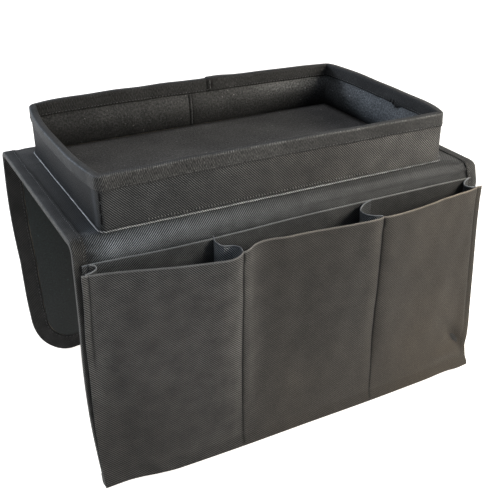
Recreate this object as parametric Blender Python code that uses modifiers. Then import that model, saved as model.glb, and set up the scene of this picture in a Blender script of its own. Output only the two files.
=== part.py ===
"""Sofa organizer: a cloth saddle for a sofa arm, with a boarded tray on top and three pockets in front.

X runs along the sofa arm, -Y is the side with the pockets and +Z is up. The origin is the middle of
the underside of the saddle's flat top, which lies on the arm. The front drop and the rear flap hang
from a fold each, and the pocket cloth tips out from the seam above the front hem.
"""

from math import cos, pi, radians, sin

import bmesh
import bpy
import numpy as np
from mathutils import Matrix

# Saddle
PANEL_LENGTH = 0.330
SADDLE_WIDTH = 0.195
STAND_HEIGHT = 0.188
FOLD_RADIUS = 0.0095
FLARE_ANGLE = radians(12.9)
FLAP_LEAN = radians(6.4)
FLAP_CORNER = 0.039

# Cloth, boards and the space that neighbouring layers keep
COVER = 0.0008
BOARD = 0.0020
LINING = 0.0006
TAPE = 0.0006
POCKET_CLOTH = 0.0007
GAP = 0.0003
BOARD_MARGIN = 0.004
BINDING_WIDTH = 0.009
FLAP_BINDING_WIDTH = 0.013
HEM_HEIGHT = 0.008

# Tray, placed by the strip of saddle left free on each side of it
TRAY_LEFT_MARGIN = 0.0228
TRAY_RIGHT_MARGIN = 0.0312
TRAY_FRONT_MARGIN = 0.0067
TRAY_REAR_MARGIN = 0.0223
TRAY_HEIGHT = 0.039
RIM_HEIGHT = 0.010
RIM_CORNER = 0.0015
WELT_WIDTH = 0.0020
WELT_HEIGHT = 0.0012

# Pockets
BACK_PANEL_INSET = 0.005
BACK_PANEL_DROP = 0.016
POCKET_DROP = 0.020
POCKET_DEPTH = 0.030
POCKET_SEAM_GAP = 0.0005
GUSSET_CLEARANCE = 0.0004
GUSSET_CLOTH = 0.0006

# Mouth of the pocket cloth: places along the length and how far the cloth stands off there,
# as shares of PANEL_LENGTH and POCKET_DEPTH
MOUTH_PLACE_SHARES = (0, 0.03, 0.08, 0.14, 0.20, 0.26, 0.285, 0.31, 0.34, 0.37, 0.40,
                      0.47, 0.55, 0.65, 0.69, 0.75, 0.85, 0.95, 1)
MOUTH_DEPTH_SHARES = (0.29, 0.26, 0.36, 0.55, 0.75, 0.95, 1, 0.95, 0.80, 0.55, 0.51,
                      0.56, 0.65, 0.78, 0.80, 0.74, 0.57, 0.45, 0.36)
SWELL_POWER = 1.7
END_PINCH_SHARE = 0.08

# Gussets between the pocket cloth and the panel behind it: where each is sewn to the panel, where
# to the pocket cloth, and how far its middle is folded aside, all as shares of PANEL_LENGTH
GUSSET_LEFT_SHARES = (0.024, 0.014, 0.018)
DIVIDER_LEFT_SHARES = (0.297, 0.330, -0.008)
DIVIDER_RIGHT_SHARES = (0.691, 0.682, -0.034)
GUSSET_RIGHT_SHARES = (0.976, 0.986, -0.018)
GUSSET_FOOT_SHARE = 0.12

# How finely curves and cloth are divided
FOLD_STEPS = 10
FLARE_STEPS = 14
CORNER_STEPS = 8
CLOTH_COLUMNS = 40
CLOTH_ROWS = 10
GUSSET_COLUMNS = 6
OVERRUN = 0.002
WELD = 0.00001

# Worked out from the sizes above
HALF_LENGTH = PANEL_LENGTH / 2
TRAY_HALF_LENGTH = (PANEL_LENGTH - TRAY_LEFT_MARGIN - TRAY_RIGHT_MARGIN) / 2
TRAY_HALF_WIDTH = (SADDLE_WIDTH - TRAY_FRONT_MARGIN - TRAY_REAR_MARGIN) / 2
TRAY_SHIFT_X = (TRAY_LEFT_MARGIN - TRAY_RIGHT_MARGIN) / 2
TRAY_SHIFT_Y = (TRAY_FRONT_MARGIN - TRAY_REAR_MARGIN) / 2
BOARD_TOP = COVER + GAP
BOARD_FOOT = BOARD_TOP + BOARD
LINING_TOP = BOARD_FOOT + GAP
STACK = LINING_TOP + LINING
WRAP = TAPE + GAP
LAYERS = {"cover": (0, COVER), "board": (BOARD_TOP, BOARD_FOOT), "lining": (LINING_TOP, STACK)}
FOLD_Y = SADDLE_WIDTH / 2 - FOLD_RADIUS
FOLD_Z = STACK - FOLD_RADIUS
FRONT_AXIS = (0, -FOLD_Y, FOLD_Z)
REAR_AXIS = (0, FOLD_Y, FOLD_Z)
DROP_HEIGHT = STAND_HEIGHT - FOLD_RADIUS
FLARE_RADIUS = DROP_HEIGHT / sin(FLARE_ANGLE) - STACK - WRAP
DROP_LENGTH = FLARE_RADIUS * FLARE_ANGLE
FLAP_LENGTH = (DROP_HEIGHT - (FOLD_RADIUS + WRAP) * sin(FLAP_LEAN)) / cos(FLAP_LEAN)
BACK_PANEL_FACE = WRAP + GAP + POCKET_CLOTH
HEM_FACE = BACK_PANEL_FACE + WRAP
SEAM_PLACE = DROP_LENGTH - HEM_HEIGHT - POCKET_SEAM_GAP
SEAM_STANDOFF = BACK_PANEL_FACE + GAP + POCKET_CLOTH / 2
POCKET_TOP_PLACE = POCKET_DROP - FOLD_RADIUS
TRAY_FOOT = STACK + GAP
RIM_TOP = STACK + TRAY_HEIGHT
WALL_TOP = RIM_TOP - WRAP

# Ways to turn a flat outline: the outline's own axes and the way it is thickened
ALONG_X = Matrix(((0, 0, 1, 0), (1, 0, 0, 0), (0, 1, 0, 0), (0, 0, 0, 1)))
ALONG_Z = Matrix.Identity(4)
INTO_FLAP = Matrix(((1, 0, 0, 0), (0, 0, -1, 0), (0, 1, 0, 0), (0, 0, 0, 1)))


def clear_scene():
    for item in list(bpy.data.objects):
        bpy.data.objects.remove(item, do_unlink=True)


def make_collection(name):
    group = bpy.data.collections.new(name)
    bpy.context.scene.collection.children.link(group)
    return group


def make_finish(name, colour, roughness):
    finish = bpy.data.materials.new(name)
    finish.use_nodes = True
    shader = finish.node_tree.nodes["Principled BSDF"]
    shader.inputs["Base Color"].default_value = (*colour, 1)
    shader.inputs["Roughness"].default_value = roughness
    shader.inputs["Metallic"].default_value = 0
    return finish


def make_carrier(name, place, lean=0):
    """An empty on a fold or seam, which its pieces hang from."""
    carrier = bpy.data.objects.new(name, None)
    carrier.location = place
    carrier.rotation_euler = (lean, 0, 0)
    parts.objects.link(carrier)
    return carrier


def add_piece(name, mesh, finish, carrier=None, turn=ALONG_Z, cutter=False):
    piece = bpy.data.objects.new(name, mesh)
    mesh.materials.append(finish)
    piece.parent = carrier
    piece.matrix_local = turn
    if cutter:
        cutters.objects.link(piece)
        piece.hide_render = True
        piece.display_type = "WIRE"
    else:
        parts.objects.link(piece)
    return piece


def cut(piece, cutter):
    modifier = piece.modifiers.new("cut", "BOOLEAN")
    modifier.operation = "DIFFERENCE"
    modifier.object = cutter


def slab(name, x_span, y_span, z_span, finish, carrier=None, cutter=False):
    """A flat piece between two places along each axis."""
    spans = (x_span, y_span, z_span)
    size = Matrix.Diagonal([high - low for low, high in spans]).to_4x4()
    middle = Matrix.Translation([(low + high) / 2 for low, high in spans])
    shape = bmesh.new()
    bmesh.ops.create_cube(shape, size=1, matrix=middle @ size)
    mesh = bpy.data.meshes.new(name)
    shape.to_mesh(mesh)
    shape.free()
    return add_piece(name, mesh, finish, carrier, cutter=cutter)


def prism(name, loops, span, turn, finish, carrier=None, cutter=False):
    """Closed outlines filled as one flat shape, holes left open, and thickened over span."""
    curve = bpy.data.curves.new(name, "CURVE")
    curve.dimensions = "2D"
    curve.fill_mode = "BOTH"
    curve.extrude = (span[1] - span[0]) / 2
    for loop in loops:
        spline = curve.splines.new("POLY")
        spline.points.add(len(loop) - 1)
        for point, (across, up) in zip(spline.points, loop):
            point.co = (across, up, 0, 1)
        spline.use_cyclic_u = True
    outline = bpy.data.objects.new(name + "_outline", curve)
    cutters.objects.link(outline)
    graph = bpy.context.evaluated_depsgraph_get()
    mesh = bpy.data.meshes.new_from_object(outline.evaluated_get(graph))
    bpy.data.objects.remove(outline, do_unlink=True)
    shape = bmesh.new()
    shape.from_mesh(mesh)
    bmesh.ops.remove_doubles(shape, verts=shape.verts, dist=WELD)
    bmesh.ops.recalc_face_normals(shape, faces=shape.faces)
    bmesh.ops.translate(shape, verts=shape.verts, vec=(0, 0, (span[0] + span[1]) / 2))
    shape.to_mesh(mesh)
    shape.free()
    return add_piece(name, mesh, finish, carrier, turn, cutter)


def cloth(name, surface, columns, rows, thickness, finish, carrier):
    """A grid laid on surface(across, up), both from 0 to 1, and thickened evenly to both sides."""
    shape = bmesh.new()
    bmesh.ops.create_grid(shape, x_segments=columns, y_segments=rows, size=1)
    for corner in shape.verts:
        corner.co = surface((corner.co.x + 1) / 2, (corner.co.y + 1) / 2)
    mesh = bpy.data.meshes.new(name)
    shape.to_mesh(mesh)
    shape.free()
    mesh.shade_smooth()
    piece = add_piece(name, mesh, finish, carrier)
    shell = piece.modifiers.new("thickness", "SOLIDIFY")
    shell.thickness = thickness
    shell.offset = 0
    shell.use_even_offset = True
    return piece


def arc(centre, radius, start, end, steps):
    return [(centre[0] + radius * cos(angle), centre[1] + radius * sin(angle))
            for angle in np.linspace(start, end, steps + 1)]


def sector(centre, inner, outer, start, end, steps):
    """A strip bent round centre, between two radii and two angles."""
    return arc(centre, outer, start, end, steps) + arc(centre, inner, end, start, steps)


def tray_loop(outwards, radius=0):
    """The tray's outline in plan, moved outwards from the walls' outer face, with round corners."""
    loop = []
    reach_x = TRAY_HALF_LENGTH + outwards - radius
    reach_y = TRAY_HALF_WIDTH + outwards - radius
    for quarter, (side_x, side_y) in enumerate(((1, 1), (-1, 1), (-1, -1), (1, -1))):
        middle = (TRAY_SHIFT_X + side_x * reach_x, TRAY_SHIFT_Y + side_y * reach_y)
        start = quarter * pi / 2
        if radius > 0:
            loop += arc(middle, radius, start, start + pi / 2, CORNER_STEPS)
        else:
            loop.append(middle)
    return loop


def fold_outline(layer, start, end):
    """A cloth layer in a fold, in the fold's own frame, with a slit left at each end."""
    slit = GAP / FOLD_RADIUS * np.sign(end - start)
    inner, outer = FOLD_RADIUS - layer[1], FOLD_RADIUS - layer[0]
    return sector((0, 0), inner, outer, start + slit, end - slit, FOLD_STEPS)


def drop_outline(layer, top, foot):
    """A layer of the front drop, in its fold's frame: the drop starts plumb and flares outwards."""
    inner, outer = FLARE_RADIUS + layer[0], FLARE_RADIUS + layer[1]
    centre = (-FOLD_RADIUS - FLARE_RADIUS, 0)
    return sector(centre, inner, outer, -top / FLARE_RADIUS, -foot / FLARE_RADIUS, FLARE_STEPS)


def drop_point(x, place, standoff):
    """A point in front of the drop's outer face, place down from the fold, in the fold's frame."""
    angle = place / FLARE_RADIUS
    radius = FLARE_RADIUS - standoff
    return (x, -FOLD_RADIUS - FLARE_RADIUS + radius * cos(angle), -radius * sin(angle))


def flap_outline(inset, top):
    """The rear flap's outline in its own plane, drawn in from its edge by inset."""
    side, radius = HALF_LENGTH - inset, FLAP_CORNER - inset
    middle_x, middle_z = HALF_LENGTH - FLAP_CORNER, FLAP_CORNER - FLAP_LENGTH
    left = arc((-middle_x, middle_z), radius, pi, pi * 3 / 2, CORNER_STEPS)
    right = arc((middle_x, middle_z), radius, -pi / 2, 0, CORNER_STEPS)
    return [(-side, -top)] + left + right + [(side, -top)]


def flap_span(layer):
    return (layer[0] - FOLD_RADIUS, layer[1] - FOLD_RADIUS)


def end_spans(low, high):
    """The same stretch, measured from the middle, at the left and the right end."""
    return {"left": (-high, -low), "right": (low, high)}


def make_top():
    """Cover, board and lining of the flat top, with a folded tape round each end."""
    inner = HALF_LENGTH - WRAP
    lined = HALF_LENGTH - BINDING_WIDTH - GAP
    reach = {"cover": (inner, FOLD_Y), "board": (inner, FOLD_Y - BOARD_MARGIN), "lining": (lined, FOLD_Y)}
    for layer, (depth_top, depth_foot) in LAYERS.items():
        x, y = reach[layer]
        slab(f"top_{layer}", (-x, x), (-y, y), (STACK - depth_foot, STACK - depth_top), finishes[layer])
    for side, span in end_spans(HALF_LENGTH - BINDING_WIDTH, HALF_LENGTH).items():
        name = f"top_{side}_binding"
        piece = slab(name, span, (-FOLD_Y, FOLD_Y), (0, STACK + WRAP), finishes["tape"])
        slot_x = end_spans(HALF_LENGTH - BINDING_WIDTH - OVERRUN, HALF_LENGTH - TAPE)[side]
        slot_y = (-FOLD_Y - OVERRUN, FOLD_Y + OVERRUN)
        cut(piece, slab(name + "_slot", slot_x, slot_y, (TAPE, STACK + GAP), finishes["tape"], cutter=True))


def make_fold(place, axis, start, end):
    """The strips that bend where the saddle turns down: cover, lining and the tape at each end."""
    carrier = make_carrier(f"{place}_fold_axis", axis)
    inner = HALF_LENGTH - WRAP
    lined = HALF_LENGTH - BINDING_WIDTH - GAP
    for layer, x in (("cover", inner), ("lining", lined)):
        outline = fold_outline(LAYERS[layer], start, end)
        prism(f"{place}_fold_{layer}", [outline], (-x, x), ALONG_X, finishes[layer], carrier)
    for side, span in end_spans(HALF_LENGTH - BINDING_WIDTH, HALF_LENGTH).items():
        name = f"{place}_fold_{side}_binding"
        outline = fold_outline((-WRAP, STACK), start, end)
        piece = prism(name, [outline], span, ALONG_X, finishes["tape"], carrier)
        slot_x = end_spans(HALF_LENGTH - BINDING_WIDTH - OVERRUN, HALF_LENGTH - TAPE)[side]
        past = OVERRUN / FOLD_RADIUS * np.sign(end - start)
        slot = fold_outline((-GAP, STACK - TAPE), start - past, end + past)
        cut(piece, prism(name + "_slot", [slot], slot_x, ALONG_X, finishes["tape"], carrier, True))


def make_front_drop():
    """The front drop with its end tapes, its hem and the pockets' back panel sewn on it."""
    carrier = make_carrier("front_panel_hinge", FRONT_AXIS)
    inner = HALF_LENGTH - WRAP
    lined = HALF_LENGTH - BINDING_WIDTH - GAP
    foot = DROP_LENGTH - WRAP
    reach = {"cover": (inner, GAP), "board": (inner, BOARD_MARGIN), "lining": (lined, GAP)}
    for layer, (x, top) in reach.items():
        outline = drop_outline(LAYERS[layer], top, foot)
        prism(f"front_drop_{layer}", [outline], (-x, x), ALONG_X, finishes[layer], carrier)
    for side, span in end_spans(HALF_LENGTH - BINDING_WIDTH, HALF_LENGTH).items():
        name = f"front_{side}_binding"
        outline = drop_outline((-WRAP, STACK), GAP, foot)
        piece = prism(name, [outline], span, ALONG_X, finishes["tape"], carrier)
        slot_x = end_spans(HALF_LENGTH - BINDING_WIDTH - OVERRUN, HALF_LENGTH - TAPE)[side]
        slot = drop_outline((-GAP, STACK - TAPE), -OVERRUN, DROP_LENGTH + OVERRUN)
        cut(piece, prism(name + "_slot", [slot], slot_x, ALONG_X, finishes["tape"], carrier, True))
    back_layer = (-BACK_PANEL_FACE, POCKET_CLOTH - BACK_PANEL_FACE)
    back = drop_outline(back_layer, BACK_PANEL_DROP - FOLD_RADIUS, foot)
    back_x = HALF_LENGTH - BACK_PANEL_INSET
    prism("pocket_back_panel", [back], (-back_x, back_x), ALONG_X, finishes["cover"], carrier)
    hem = drop_outline((-HEM_FACE, STACK + WRAP), DROP_LENGTH - HEM_HEIGHT, DROP_LENGTH)
    piece = prism("front_hem", [hem], (-HALF_LENGTH, HALF_LENGTH), ALONG_X, finishes["cover"], carrier)
    slot_layer = (TAPE - HEM_FACE, STACK + GAP)
    slot = drop_outline(slot_layer, DROP_LENGTH - HEM_HEIGHT - OVERRUN, DROP_LENGTH - TAPE)
    slot_x = HALF_LENGTH + OVERRUN
    cut(piece, prism("front_hem_slot", [slot], (-slot_x, slot_x), ALONG_X, finishes["cover"], carrier, True))
    return carrier


def pocket_standoff(along, up):
    """How far the pocket cloth stands off its seam line, along the length and up from the seam."""
    depth = POCKET_DEPTH * np.interp(along, MOUTH_PLACE_SHARES, MOUTH_DEPTH_SHARES)
    swell = 1 - (1 - up) ** SWELL_POWER
    pinch = max(0, 1 - along / END_PINCH_SHARE)
    return depth * (swell * (1 - pinch) + up * pinch)


def pocket_point(along, up):
    """A point on the pocket cloth's middle."""
    place = SEAM_PLACE + (POCKET_TOP_PLACE - SEAM_PLACE) * up
    standoff = SEAM_STANDOFF + pocket_standoff(along, up)
    return drop_point(PANEL_LENGTH * along - HALF_LENGTH, place, standoff)


def make_pockets(drop):
    """The pocket cloth, which tips out from its seam, and the gussets that hold it to the panel."""
    seam = drop_point(0, SEAM_PLACE, SEAM_STANDOFF)
    carrier = make_carrier("pocket_seam", [axis + offset for axis, offset in zip(FRONT_AXIS, seam)])

    def front(across, up):
        return [value - offset for value, offset in zip(pocket_point(across, up), seam)]

    cloth("pocket_front_cloth", front, CLOTH_COLUMNS, CLOTH_ROWS, POCKET_CLOTH, finishes["cover"], carrier)
    make_gusset("pocket_gusset_left", *GUSSET_LEFT_SHARES, drop)
    make_gusset("pocket_divider_left", *DIVIDER_LEFT_SHARES, drop)
    make_gusset("pocket_divider_right", *DIVIDER_RIGHT_SHARES, drop)
    make_gusset("pocket_gusset_right", *GUSSET_RIGHT_SHARES, drop)


def make_gusset(name, back_share, front_share, fold_share, drop):
    """A strip from the back panel to the pocket cloth, folded aside in its middle."""
    clear = GUSSET_CLEARANCE + GUSSET_CLOTH
    back_standoff = BACK_PANEL_FACE + clear

    def surface(across, up):
        rise = GUSSET_FOOT_SHARE + (1 - GUSSET_FOOT_SHARE) * up
        place = SEAM_PLACE + (POCKET_TOP_PLACE - SEAM_PLACE) * rise
        front_standoff = SEAM_STANDOFF + pocket_standoff(front_share, rise) - POCKET_CLOTH / 2 - clear
        reach = pocket_standoff(front_share, rise) / pocket_standoff(front_share, 1)
        along = back_share + (front_share - back_share) * across + fold_share * reach * sin(pi * across)
        standoff = back_standoff + (front_standoff - back_standoff) * across
        return drop_point(PANEL_LENGTH * along - HALF_LENGTH, place, standoff)

    cloth(name, surface, GUSSET_COLUMNS, CLOTH_ROWS, GUSSET_CLOTH, finishes["lining"], drop)


def make_rear_flap():
    """The rear flap, round at its lower corners, with a tape folded round its edge."""
    carrier = make_carrier("rear_flap_hinge", REAR_AXIS, -FLAP_LEAN)
    lined = FLAP_BINDING_WIDTH + GAP
    reach = {"cover": (WRAP, GAP), "board": (WRAP, BOARD_MARGIN), "lining": (lined, GAP)}
    for layer, (inset, top) in reach.items():
        outline = flap_outline(inset, top)
        prism(f"rear_flap_{layer}", [outline], flap_span(LAYERS[layer]), INTO_FLAP, finishes[layer], carrier)
    name, tape = "rear_flap_binding", finishes["tape"]
    piece = prism(name, [flap_outline(0, GAP)], flap_span((-WRAP, STACK)), INTO_FLAP, tape, carrier)
    for use, inset, layer in (("slot", TAPE, (-GAP, STACK - TAPE)),
                              ("window", FLAP_BINDING_WIDTH, (-WRAP - OVERRUN, STACK + OVERRUN))):
        outline = flap_outline(inset, -OVERRUN)
        cutter = prism(f"{name}_{use}", [outline], flap_span(layer), INTO_FLAP, tape, carrier, True)
        cut(piece, cutter)


def make_tray_walls():
    """Four walls, each an outer cloth, a board and a lining. The long ones cover the short ones' ends."""
    for layer, (depth_out, depth_in) in LAYERS.items():
        out_x, in_x = TRAY_HALF_LENGTH - depth_out, TRAY_HALF_LENGTH - depth_in
        out_y, in_y = TRAY_HALF_WIDTH - depth_out, TRAY_HALF_WIDTH - depth_in
        between = in_y - GAP
        walls = {
            "front": ((-out_x, out_x), (-out_y, -in_y)),
            "rear": ((-out_x, out_x), (in_y, out_y)),
            "left": ((-out_x, -in_x), (-between, between)),
            "right": ((in_x, out_x), (-between, between)),
        }
        for side, (x_span, y_span) in walls.items():
            x_placed = [x + TRAY_SHIFT_X for x in x_span]
            y_placed = [y + TRAY_SHIFT_Y for y in y_span]
            slab(f"tray_{side}_wall_{layer}", x_placed, y_placed, (TRAY_FOOT, WALL_TOP), finishes[layer])


def make_tray_floor():
    x, y = TRAY_HALF_LENGTH - STACK - GAP, TRAY_HALF_WIDTH - STACK - GAP
    x_span, y_span = (TRAY_SHIFT_X - x, TRAY_SHIFT_X + x), (TRAY_SHIFT_Y - y, TRAY_SHIFT_Y + y)
    board_top = TRAY_FOOT + BOARD
    slab("tray_floor_board", x_span, y_span, (TRAY_FOOT, board_top), finishes["board"])
    slab("tray_floor_lining", x_span, y_span, (board_top + GAP, board_top + GAP + LINING), finishes["lining"])


def make_tray_trims():
    """The tape folded over the rim, and the welt at the foot of the walls."""
    loops = [tray_loop(WRAP, RIM_CORNER), tray_loop(-STACK - WRAP, RIM_CORNER)]
    rim = prism("tray_rim_binding", loops, (RIM_TOP - RIM_HEIGHT, RIM_TOP), ALONG_Z, finishes["tape"])
    slot = [tray_loop(GAP), tray_loop(-STACK - GAP)]
    slot_span = (RIM_TOP - RIM_HEIGHT - OVERRUN, WALL_TOP + GAP)
    cut(rim, prism("tray_rim_binding_slot", slot, slot_span, ALONG_Z, finishes["tape"], cutter=True))
    welt = [tray_loop(GAP + WELT_WIDTH, RIM_CORNER), tray_loop(GAP)]
    prism("tray_base_welt", welt, (TRAY_FOOT, TRAY_FOOT + WELT_HEIGHT), ALONG_Z, finishes["tape"])


clear_scene()
parts = make_collection("sofa_organizer")
cutters = make_collection("cutters")
finishes = {
    "cover": make_finish("twill_cloth", (0.050, 0.048, 0.045), 0.75),
    "lining": make_finish("lining_cloth", (0.030, 0.031, 0.032), 0.45),
    "tape": make_finish("binding_tape", (0.045, 0.044, 0.043), 0.70),
    "board": make_finish("stiffener_board", (0.30, 0.26, 0.21), 0.85),
}
make_top()
make_fold("front", FRONT_AXIS, pi / 2, pi)
make_fold("rear", REAR_AXIS, pi / 2, -FLAP_LEAN)
make_pockets(make_front_drop())
make_rear_flap()
make_tray_walls()
make_tray_floor()
make_tray_trims()
bpy.context.view_layer.update()
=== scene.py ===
from math import cos, pi, radians, sin

import bpy
import numpy as np
from mathutils import Matrix, Vector


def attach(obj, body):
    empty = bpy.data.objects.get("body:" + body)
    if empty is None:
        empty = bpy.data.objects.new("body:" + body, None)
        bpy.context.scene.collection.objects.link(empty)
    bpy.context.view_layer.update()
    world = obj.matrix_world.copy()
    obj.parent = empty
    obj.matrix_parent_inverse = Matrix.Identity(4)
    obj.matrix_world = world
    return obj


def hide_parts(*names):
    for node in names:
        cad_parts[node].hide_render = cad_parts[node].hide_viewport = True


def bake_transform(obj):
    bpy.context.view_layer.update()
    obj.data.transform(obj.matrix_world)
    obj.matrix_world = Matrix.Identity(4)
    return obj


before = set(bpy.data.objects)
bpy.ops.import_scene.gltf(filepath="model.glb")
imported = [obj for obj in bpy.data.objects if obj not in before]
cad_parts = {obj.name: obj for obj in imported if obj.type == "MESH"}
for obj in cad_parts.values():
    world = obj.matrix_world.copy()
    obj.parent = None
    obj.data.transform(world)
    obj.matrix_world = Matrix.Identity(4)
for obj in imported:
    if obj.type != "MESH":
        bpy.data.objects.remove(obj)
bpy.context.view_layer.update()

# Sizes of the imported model
PANEL_LENGTH = 0.330
HALF_LENGTH = PANEL_LENGTH / 2
FOLD_RADIUS = 0.0095
FLARE_ANGLE = radians(12.9)
FLAP_LEAN = radians(6.4)
FLAP_CORNER = 0.034
FOLD_Y, FOLD_Z = 0.088, -0.0055
COVER, BOARD, LINING, TAPE, POCKET_CLOTH, GAP = 0.0008, 0.0020, 0.0006, 0.0006, 0.0007, 0.0003
STACK = 0.0040
LINING_TOP = 0.0034
WRAP = TAPE + GAP
DROP_HEIGHT = 0.1785
FLARE_RADIUS = DROP_HEIGHT / sin(FLARE_ANGLE) - STACK - WRAP
DROP_LENGTH = FLARE_RADIUS * FLARE_ANGLE
FLAP_LENGTH = (DROP_HEIGHT - (FOLD_RADIUS + WRAP) * sin(FLAP_LEAN)) / cos(FLAP_LEAN)
FRONT_ARC = FOLD_RADIUS * pi / 2
REAR_ARC = FOLD_RADIUS * (pi / 2 + FLAP_LEAN)
TOP_SPLIT = 0.050
COVER_WIDTH, LINING_WIDTH = 0.328, 0.3114
EDGING, FLAP_EDGING = 0.009, 0.013
EDGING_DEPTH = 0.002
HEM_HEIGHT = 0.008
BACK_FACE = WRAP + GAP + POCKET_CLOTH
SEAM_PLACE = DROP_LENGTH - HEM_HEIGHT - 0.0005
SEAM_STANDOFF = BACK_FACE + GAP + POCKET_CLOTH / 2
SEAM_Y, SEAM_Z = -0.118194, -0.174068
MOUTH_PLACE = 0.0105
POCKET_DEPTH = 0.030
TRAY_X, TRAY_Y = -0.0042, -0.0078
TRAY_HALF_LENGTH, TRAY_HALF_WIDTH = 0.138, 0.083
TRAY_QUARTER = TRAY_HALF_LENGTH + TRAY_HALF_WIDTH
TRAY_FOOT, RIM_TOP, RIM_HEIGHT = STACK + GAP, 0.043, 0.0100
FLOOR_TOP = 0.0072
WALL_CORNER, LINING_CORNER, RIM_CORNER, SMALLEST_CORNER = 0.0036, 0.0060, 0.0042, 0.0004
# Places of the tray's front corners by the run round its walls, clockwise from the middle of the rear one
FRONT_RIGHT_RUN, FRONT_LEFT_RUN = 0.305, 0.583
STAGE_Z = -0.1842
PHOTO_PIXELS, FOCAL_PIXELS, SENSOR = 500.0, 829.0, 36.0


# Node trees

def node(tree, kind, **settings):
    made = tree.nodes.new("ShaderNode" + kind)
    for name, value in settings.items():
        setattr(made, name, value)
    return made


def feed(tree, socket, value):
    value = getattr(value, "socket", value)
    if isinstance(value, bpy.types.NodeSocket):
        tree.links.new(value, socket)
    else:
        socket.default_value = value


class Term:
    """A value of a node tree that can be added, subtracted and multiplied."""

    def __init__(self, tree, socket):
        self.tree, self.socket = tree, socket

    def maths(self, operation, *values):
        made = node(self.tree, "Math", operation=operation)
        for socket, value in zip(made.inputs, values):
            feed(self.tree, socket, value)
        return Term(self.tree, made.outputs[0])

    def __add__(self, other):
        return self.maths("ADD", self, other)

    def __sub__(self, other):
        return self.maths("SUBTRACT", self, other)

    def __rsub__(self, other):
        return self.maths("SUBTRACT", other, self)

    def __mul__(self, other):
        return self.maths("MULTIPLY", self, other)

    def wave(self, period, phase=0.0):
        """A sine from 0 to 1 with the period in metres."""
        turned = self.maths("MULTIPLY_ADD", self, 2 * pi / period, phase)
        return self.maths("MULTIPLY_ADD", self.maths("SINE", turned), 0.5, 0.5)

    def ramp(self, *stops):
        made = node(self.tree, "ValToRGB")
        feed(self.tree, made.inputs["Fac"], self)
        elements = made.color_ramp.elements
        while len(elements) < len(stops):
            elements.new(0.5)
        for element, (place, colour) in zip(elements, stops):
            element.position = place
            element.color = (*colour, 1)
        return made.outputs["Color"]


class Cloth:
    """A material with its shader and the cloth's own place: two lengths in metres and a vector."""

    def __init__(self, name, roughness, sheen=0.0, specular=0.5):
        self.material = bpy.data.materials.new(name)
        self.material.use_nodes = True
        self.tree = self.material.node_tree
        self.inputs = self.tree.nodes["Principled BSDF"].inputs
        self.inputs["Roughness"].default_value = roughness
        self.inputs["Sheen Weight"].default_value = sheen
        self.inputs["Sheen Roughness"].default_value = 0.6
        self.inputs["Specular IOR Level"].default_value = specular
        self.place = node(self.tree, "UVMap", uv_map="weave").outputs["UV"]
        apart = node(self.tree, "SeparateXYZ")
        feed(self.tree, apart.inputs[0], self.place)
        self.across, self.down = (Term(self.tree, apart.outputs[axis]) for axis in "XY")

    def noise(self, scale, detail=3.0, roughness=0.55, place=None):
        made = node(self.tree, "TexNoise")
        for label, value in (("Vector", place or self.place), ("Scale", scale), ("Detail", detail),
                             ("Roughness", roughness)):
            feed(self.tree, made.inputs[label], value)
        return Term(self.tree, made.outputs["Fac"])

    def mark(self, name):
        return Term(self.tree, node(self.tree, "Attribute", attribute_name=name).outputs["Fac"])

    def vector(self, operation, first, second):
        made = node(self.tree, "VectorMath", operation=operation)
        feed(self.tree, made.inputs[0], first)
        feed(self.tree, made.inputs["Scale" if operation == "SCALE" else 1], second)
        return made.outputs[0]

    def colour_and_painted_light(self, colour):
        """The colour as the mesh's marks change it: tint is lighter or darker and holds painted light and
        shade as well as the cloth's own tone; warm is brownish, and partly painted warm and cool light.
        """
        tinted = self.vector("SCALE", colour, self.mark("tint") + 1.0)
        warm = self.mark("warm")
        hue = node(self.tree, "CombineXYZ")
        for socket, share in zip(hue.inputs, (0.10, -0.02, -0.16)):
            feed(self.tree, socket, warm * share + 1.0)
        feed(self.tree, self.inputs["Base Color"], self.vector("MULTIPLY", tinted, hue.outputs[0]))

    def shine(self, value):
        feed(self.tree, self.inputs["Roughness"], value)

    def bump(self, height, distance):
        made = node(self.tree, "Bump")
        made.inputs["Strength"].default_value = 1.0
        made.inputs["Distance"].default_value = distance
        feed(self.tree, made.inputs["Height"], height)
        feed(self.tree, self.inputs["Normal"], made.outputs["Normal"])
        return self.material


def twill_material(name, dark, mid, light, pitch=0.00185, roughness=0.66, depth=0.00032):
    """Coarse oxford twill: diagonal ridges of short yarn floats, stronger in some places than in others.

    The mark "even" takes the ridges out, and a negative one makes them stronger.
    """
    cloth = Cloth(name, roughness, 0.04, 0.12)
    middle = 0.335
    ridge = (cloth.across - cloth.down).wave(pitch, cloth.noise(260.0, 2.0) * 2.0)
    step = (cloth.across + cloth.down).wave(0.00115, cloth.noise(700.0, 1.0) * 7.0)
    fibre = cloth.noise(2300.0, 2.0, 0.75)
    broad = cloth.noise(24.0, 3.0, 0.5)
    ridge = ridge * (cloth.noise(75.0, 2.0, 0.5) * 0.40 + 0.47)
    ridge = (ridge - middle) * (1.0 - cloth.mark("even")) + middle
    height = fibre * 0.40 + (ridge * 0.80 + step * 0.16)
    tone = height * 0.80 + (broad * 0.09 + 0.075)
    cloth.colour_and_painted_light(tone.ramp((0.33, dark), (0.60, mid), (0.92, light)))
    cloth.shine(fibre * -0.22 + (roughness + 0.10))
    return cloth.bump(height, depth)


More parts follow.
